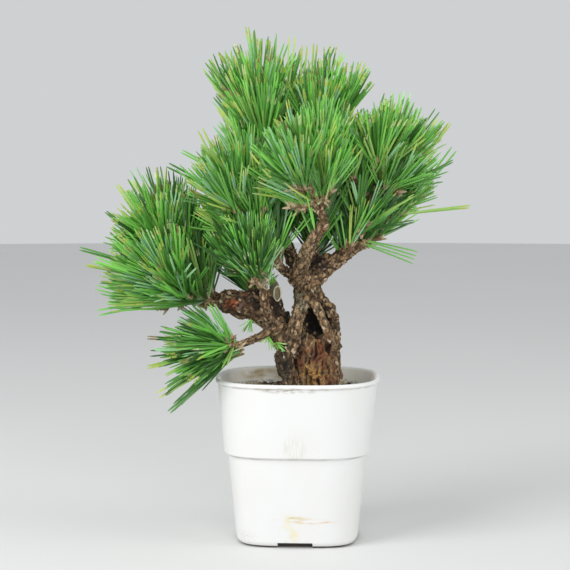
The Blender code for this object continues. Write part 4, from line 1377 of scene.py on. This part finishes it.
for ends in STRAY_NEEDLES:
    which = rng.randrange(len(needle_patterns))
    matrix = pair_place(rng, mm(*ends[:3]), mm(*ends[3:]))
    kind = rng.choice(("needles_deep_green", "needles_green", "needles_olive_green"))
    needle_places[kind].append((which, matrix))
    if kind == "needles_olive_green":
        tip_places["tips_yellow"].append((which, matrix))
    pair_places.append((which, matrix))
for root, heading in SPRIGS:
    for i in range(SPRIG_PAIRS):
        spread = Vector([rng.uniform(-0.8, 0.8) for _ in range(3)])
        turn = aimed(heading.normalized() + spread)
        size = Matrix.Diagonal((SPRIG_WIDTH, SPRIG_WIDTH, rng.uniform(*SPRIG_LENGTHS), 1.0))
        which = rng.randrange(len(needle_patterns))
        kind = rng.choice(("needles_bright_green", "needles_olive_green"))
        needle_places[kind].append((which, Matrix.Translation(root) @ turn @ size))
for _ in range(FALLEN_PAIRS):
    root = any_way(rng, FALLEN_REACH_MM)
    root.z = soil_height(root.x, root.y) + FALLEN_LEVEL
    tip = root + any_way(rng, FALLEN_LENGTH_MM, FALLEN_SLOPE_MM)
    which = rng.randrange(len(needle_patterns))
    needle_places["needles_straw"].append((which, pair_place(rng, root, tip)))
needle_pieces = add_colours(NEEDLE_GREENS, needle_patterns, needle_places, roughness=0.36)
for needles in needle_pieces:
    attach(needles, "root")
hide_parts(*MASSES)
for tips in add_colours(TIP_COLOURS, tip_patterns, tip_places, roughness=0.55):
    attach(tips, "root")

# Sheaths, scales and buds
# Each pair of needles is held at its foot in a papery grey-brown sheath. Pinkish-tan bud scales cling to
# the shoot below, and the shoot ends in a pale pointed bud.

SHEATH_RINGS = [(0.0, 0.0, 0.9375, 0.6375), (0.0, 2.1, 1.25, 0.85), (0.0, 6.0, 1.075, 0.731)]
SCALE_RINGS = [(0.0, 0.0, 0.28, 0.8), (0.225, 1.6, 0.315, 0.9), (0.9, 3.2, 0.0525, 0.15)]
BUD_RINGS = [(0, -1.0, 0.9, 0.9), (0, 0.0, 1.35, 1.35), (0, 2.4, 1.25, 1.25)]
BUD_RINGS += [(0, 5.0, 0.7, 0.7), (0, 6.2, 0.2, 0.2)]
SHEATH_COLOURS = {"sheaths_cream": (0.560, 0.440, 0.290), "sheaths_brown": (0.270, 0.165, 0.090)}
SHEATH_SHARES = [0.45, 0.55]
SCALES_A_TUFT = 9


def grown_pattern(rings, sides):
    """A small closed shape grown through rings, each its place along X and Z and its two radii in mm."""
    shape = bmesh.new()
    places = []
    for out, rise, thick, wide in rings:
        size = Matrix.Diagonal((thick * MM, wide * MM, 1.0, 1.0))
        places.append(Matrix.Translation((out * MM, 0.0, rise * MM)) @ size)
    grow_through(shape, places, sides)
    return pattern_of(shape)


sheath_pattern = grown_pattern(SHEATH_RINGS, sides=5)
sheath_places = {name: [] for name in SHEATH_COLOURS}
for _, matrix in pair_places:
    kind = rng.choices(list(SHEATH_COLOURS), SHEATH_SHARES)[0]
    sheath_places[kind].append((0, matrix))
for sheaths in add_colours(SHEATH_COLOURS, [sheath_pattern], sheath_places, roughness=0.8):
    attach(sheaths, "root")

scale_places = []
bud_places = []
for tuft in tufts:
    axis = (tuft.tip - tuft.foot).normalized()
    turn = aimed(axis)
    size = Matrix.Scale(0.45 + 0.35 * tuft.fullness, 4)
    bud_places.append((0, Matrix.Translation(tuft.tip) @ turn @ size))
    for i in range(SCALES_A_TUFT):
        root = tuft.tip - axis * TUFT_LENGTH * rng.uniform(0.0, 1.35)
        spin = Matrix.Rotation(GOLDEN_ANGLE * i, 4, "Z")
        out = Matrix.Translation((1.0 * MM, 0.0, 0.0)) @ Matrix.Rotation(rng.uniform(0.2, 0.9), 4, "Y")
        size = Matrix.Scale(rng.uniform(0.5, 0.95), 4)
        scale_places.append((0, Matrix.Translation(root) @ turn @ spin @ out @ size))
finish, _ = new_finish("bud_scales_tan", (0.390, 0.240, 0.150), 0.75)
scales = add_copies("bud_scales", [grown_pattern(SCALE_RINGS, sides=4)], scale_places, finish)
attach(scales, "root")
finish, _ = new_finish("buds_pale", (0.440, 0.340, 0.210), 0.7)
buds = add_copies("buds", [grown_pattern(BUD_RINGS, sides=7)], bud_places, finish)
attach(buds, "root")

# The room
# A wide pale floor under the pot, even pale surroundings, a large soft light from the upper left and two
# weaker ones, as in a small studio. The camera looks from a little above the rim and to the right.

CAMERA_DISTANCE = 1.1
CAMERA_HEIGHT = 0.2421
CAMERA_AZIMUTH = math.radians(3.0)
CAMERA_YAW = math.radians(0.443)
CAMERA_PITCH = math.radians(4.13)
LENS_MM = 108.6
SENSOR_MM = 36.0
FLOOR_RADIUS = 4.0
FLOOR_FLECK = 0.4
SKY = (0.86, 0.88, 0.90, 1.0)
SKY_STRENGTH = 0.72
LIGHT_SIZE = 0.9

floor_shape = bmesh.new()
bmesh.ops.create_circle(floor_shape, cap_ends=True, segments=96, radius=FLOOR_RADIUS)
pale = ("floor_pale", (0.72, 0.72, 0.71), 0.7)
floor_finish, _ = mottled_finish(*pale, FLOOR_FLECK, (0.70, 0.70, 0.69), (0.74, 0.74, 0.73))
floor = add_piece("floor", floor_shape, floor_finish)

world = bpy.data.worlds.new("studio")
world.use_nodes = True
sky = world.node_tree.nodes["Background"]
sky.inputs["Color"].default_value = SKY
sky.inputs["Strength"].default_value = SKY_STRENGTH
bpy.context.scene.world = world


def add_light(name, place, target, power):
    """A square soft light that faces a target."""
    lamp = bpy.data.lights.new(name, "AREA")
    lamp.size = LIGHT_SIZE
    lamp.energy = power
    light = bpy.data.objects.new(name, lamp)
    light.location = place
    light.rotation_euler = (Vector(target) - Vector(place)).to_track_quat("-Z", "Y").to_euler()
    bpy.context.scene.collection.objects.link(light)
    return light


add_light("key_light", (-1.0, -0.95, 1.0), (0.0, 0.0, 0.15), 16.5)
add_light("fill_light", (0.35, -1.5, 0.7), (0.0, 0.0, 0.12), 6.5)
add_light("side_light", (1.5, -0.5, 0.8), (0.0, 0.0, 0.12), 7.0)

lens = bpy.data.cameras.new("camera")
lens.lens = LENS_MM
lens.sensor_width = SENSOR_MM
camera = bpy.data.objects.new("camera", lens)
camera.location = (
    CAMERA_DISTANCE * math.sin(CAMERA_AZIMUTH),
    -CAMERA_DISTANCE * math.cos(CAMERA_AZIMUTH),
    CAMERA_HEIGHT,
)
camera.rotation_euler = (math.pi / 2 - CAMERA_PITCH, 0.0, CAMERA_AZIMUTH + CAMERA_YAW)
bpy.context.scene.collection.objects.link(camera)
bpy.context.scene.camera = camera
bpy.context.scene.view_settings.view_transform = "Standard"
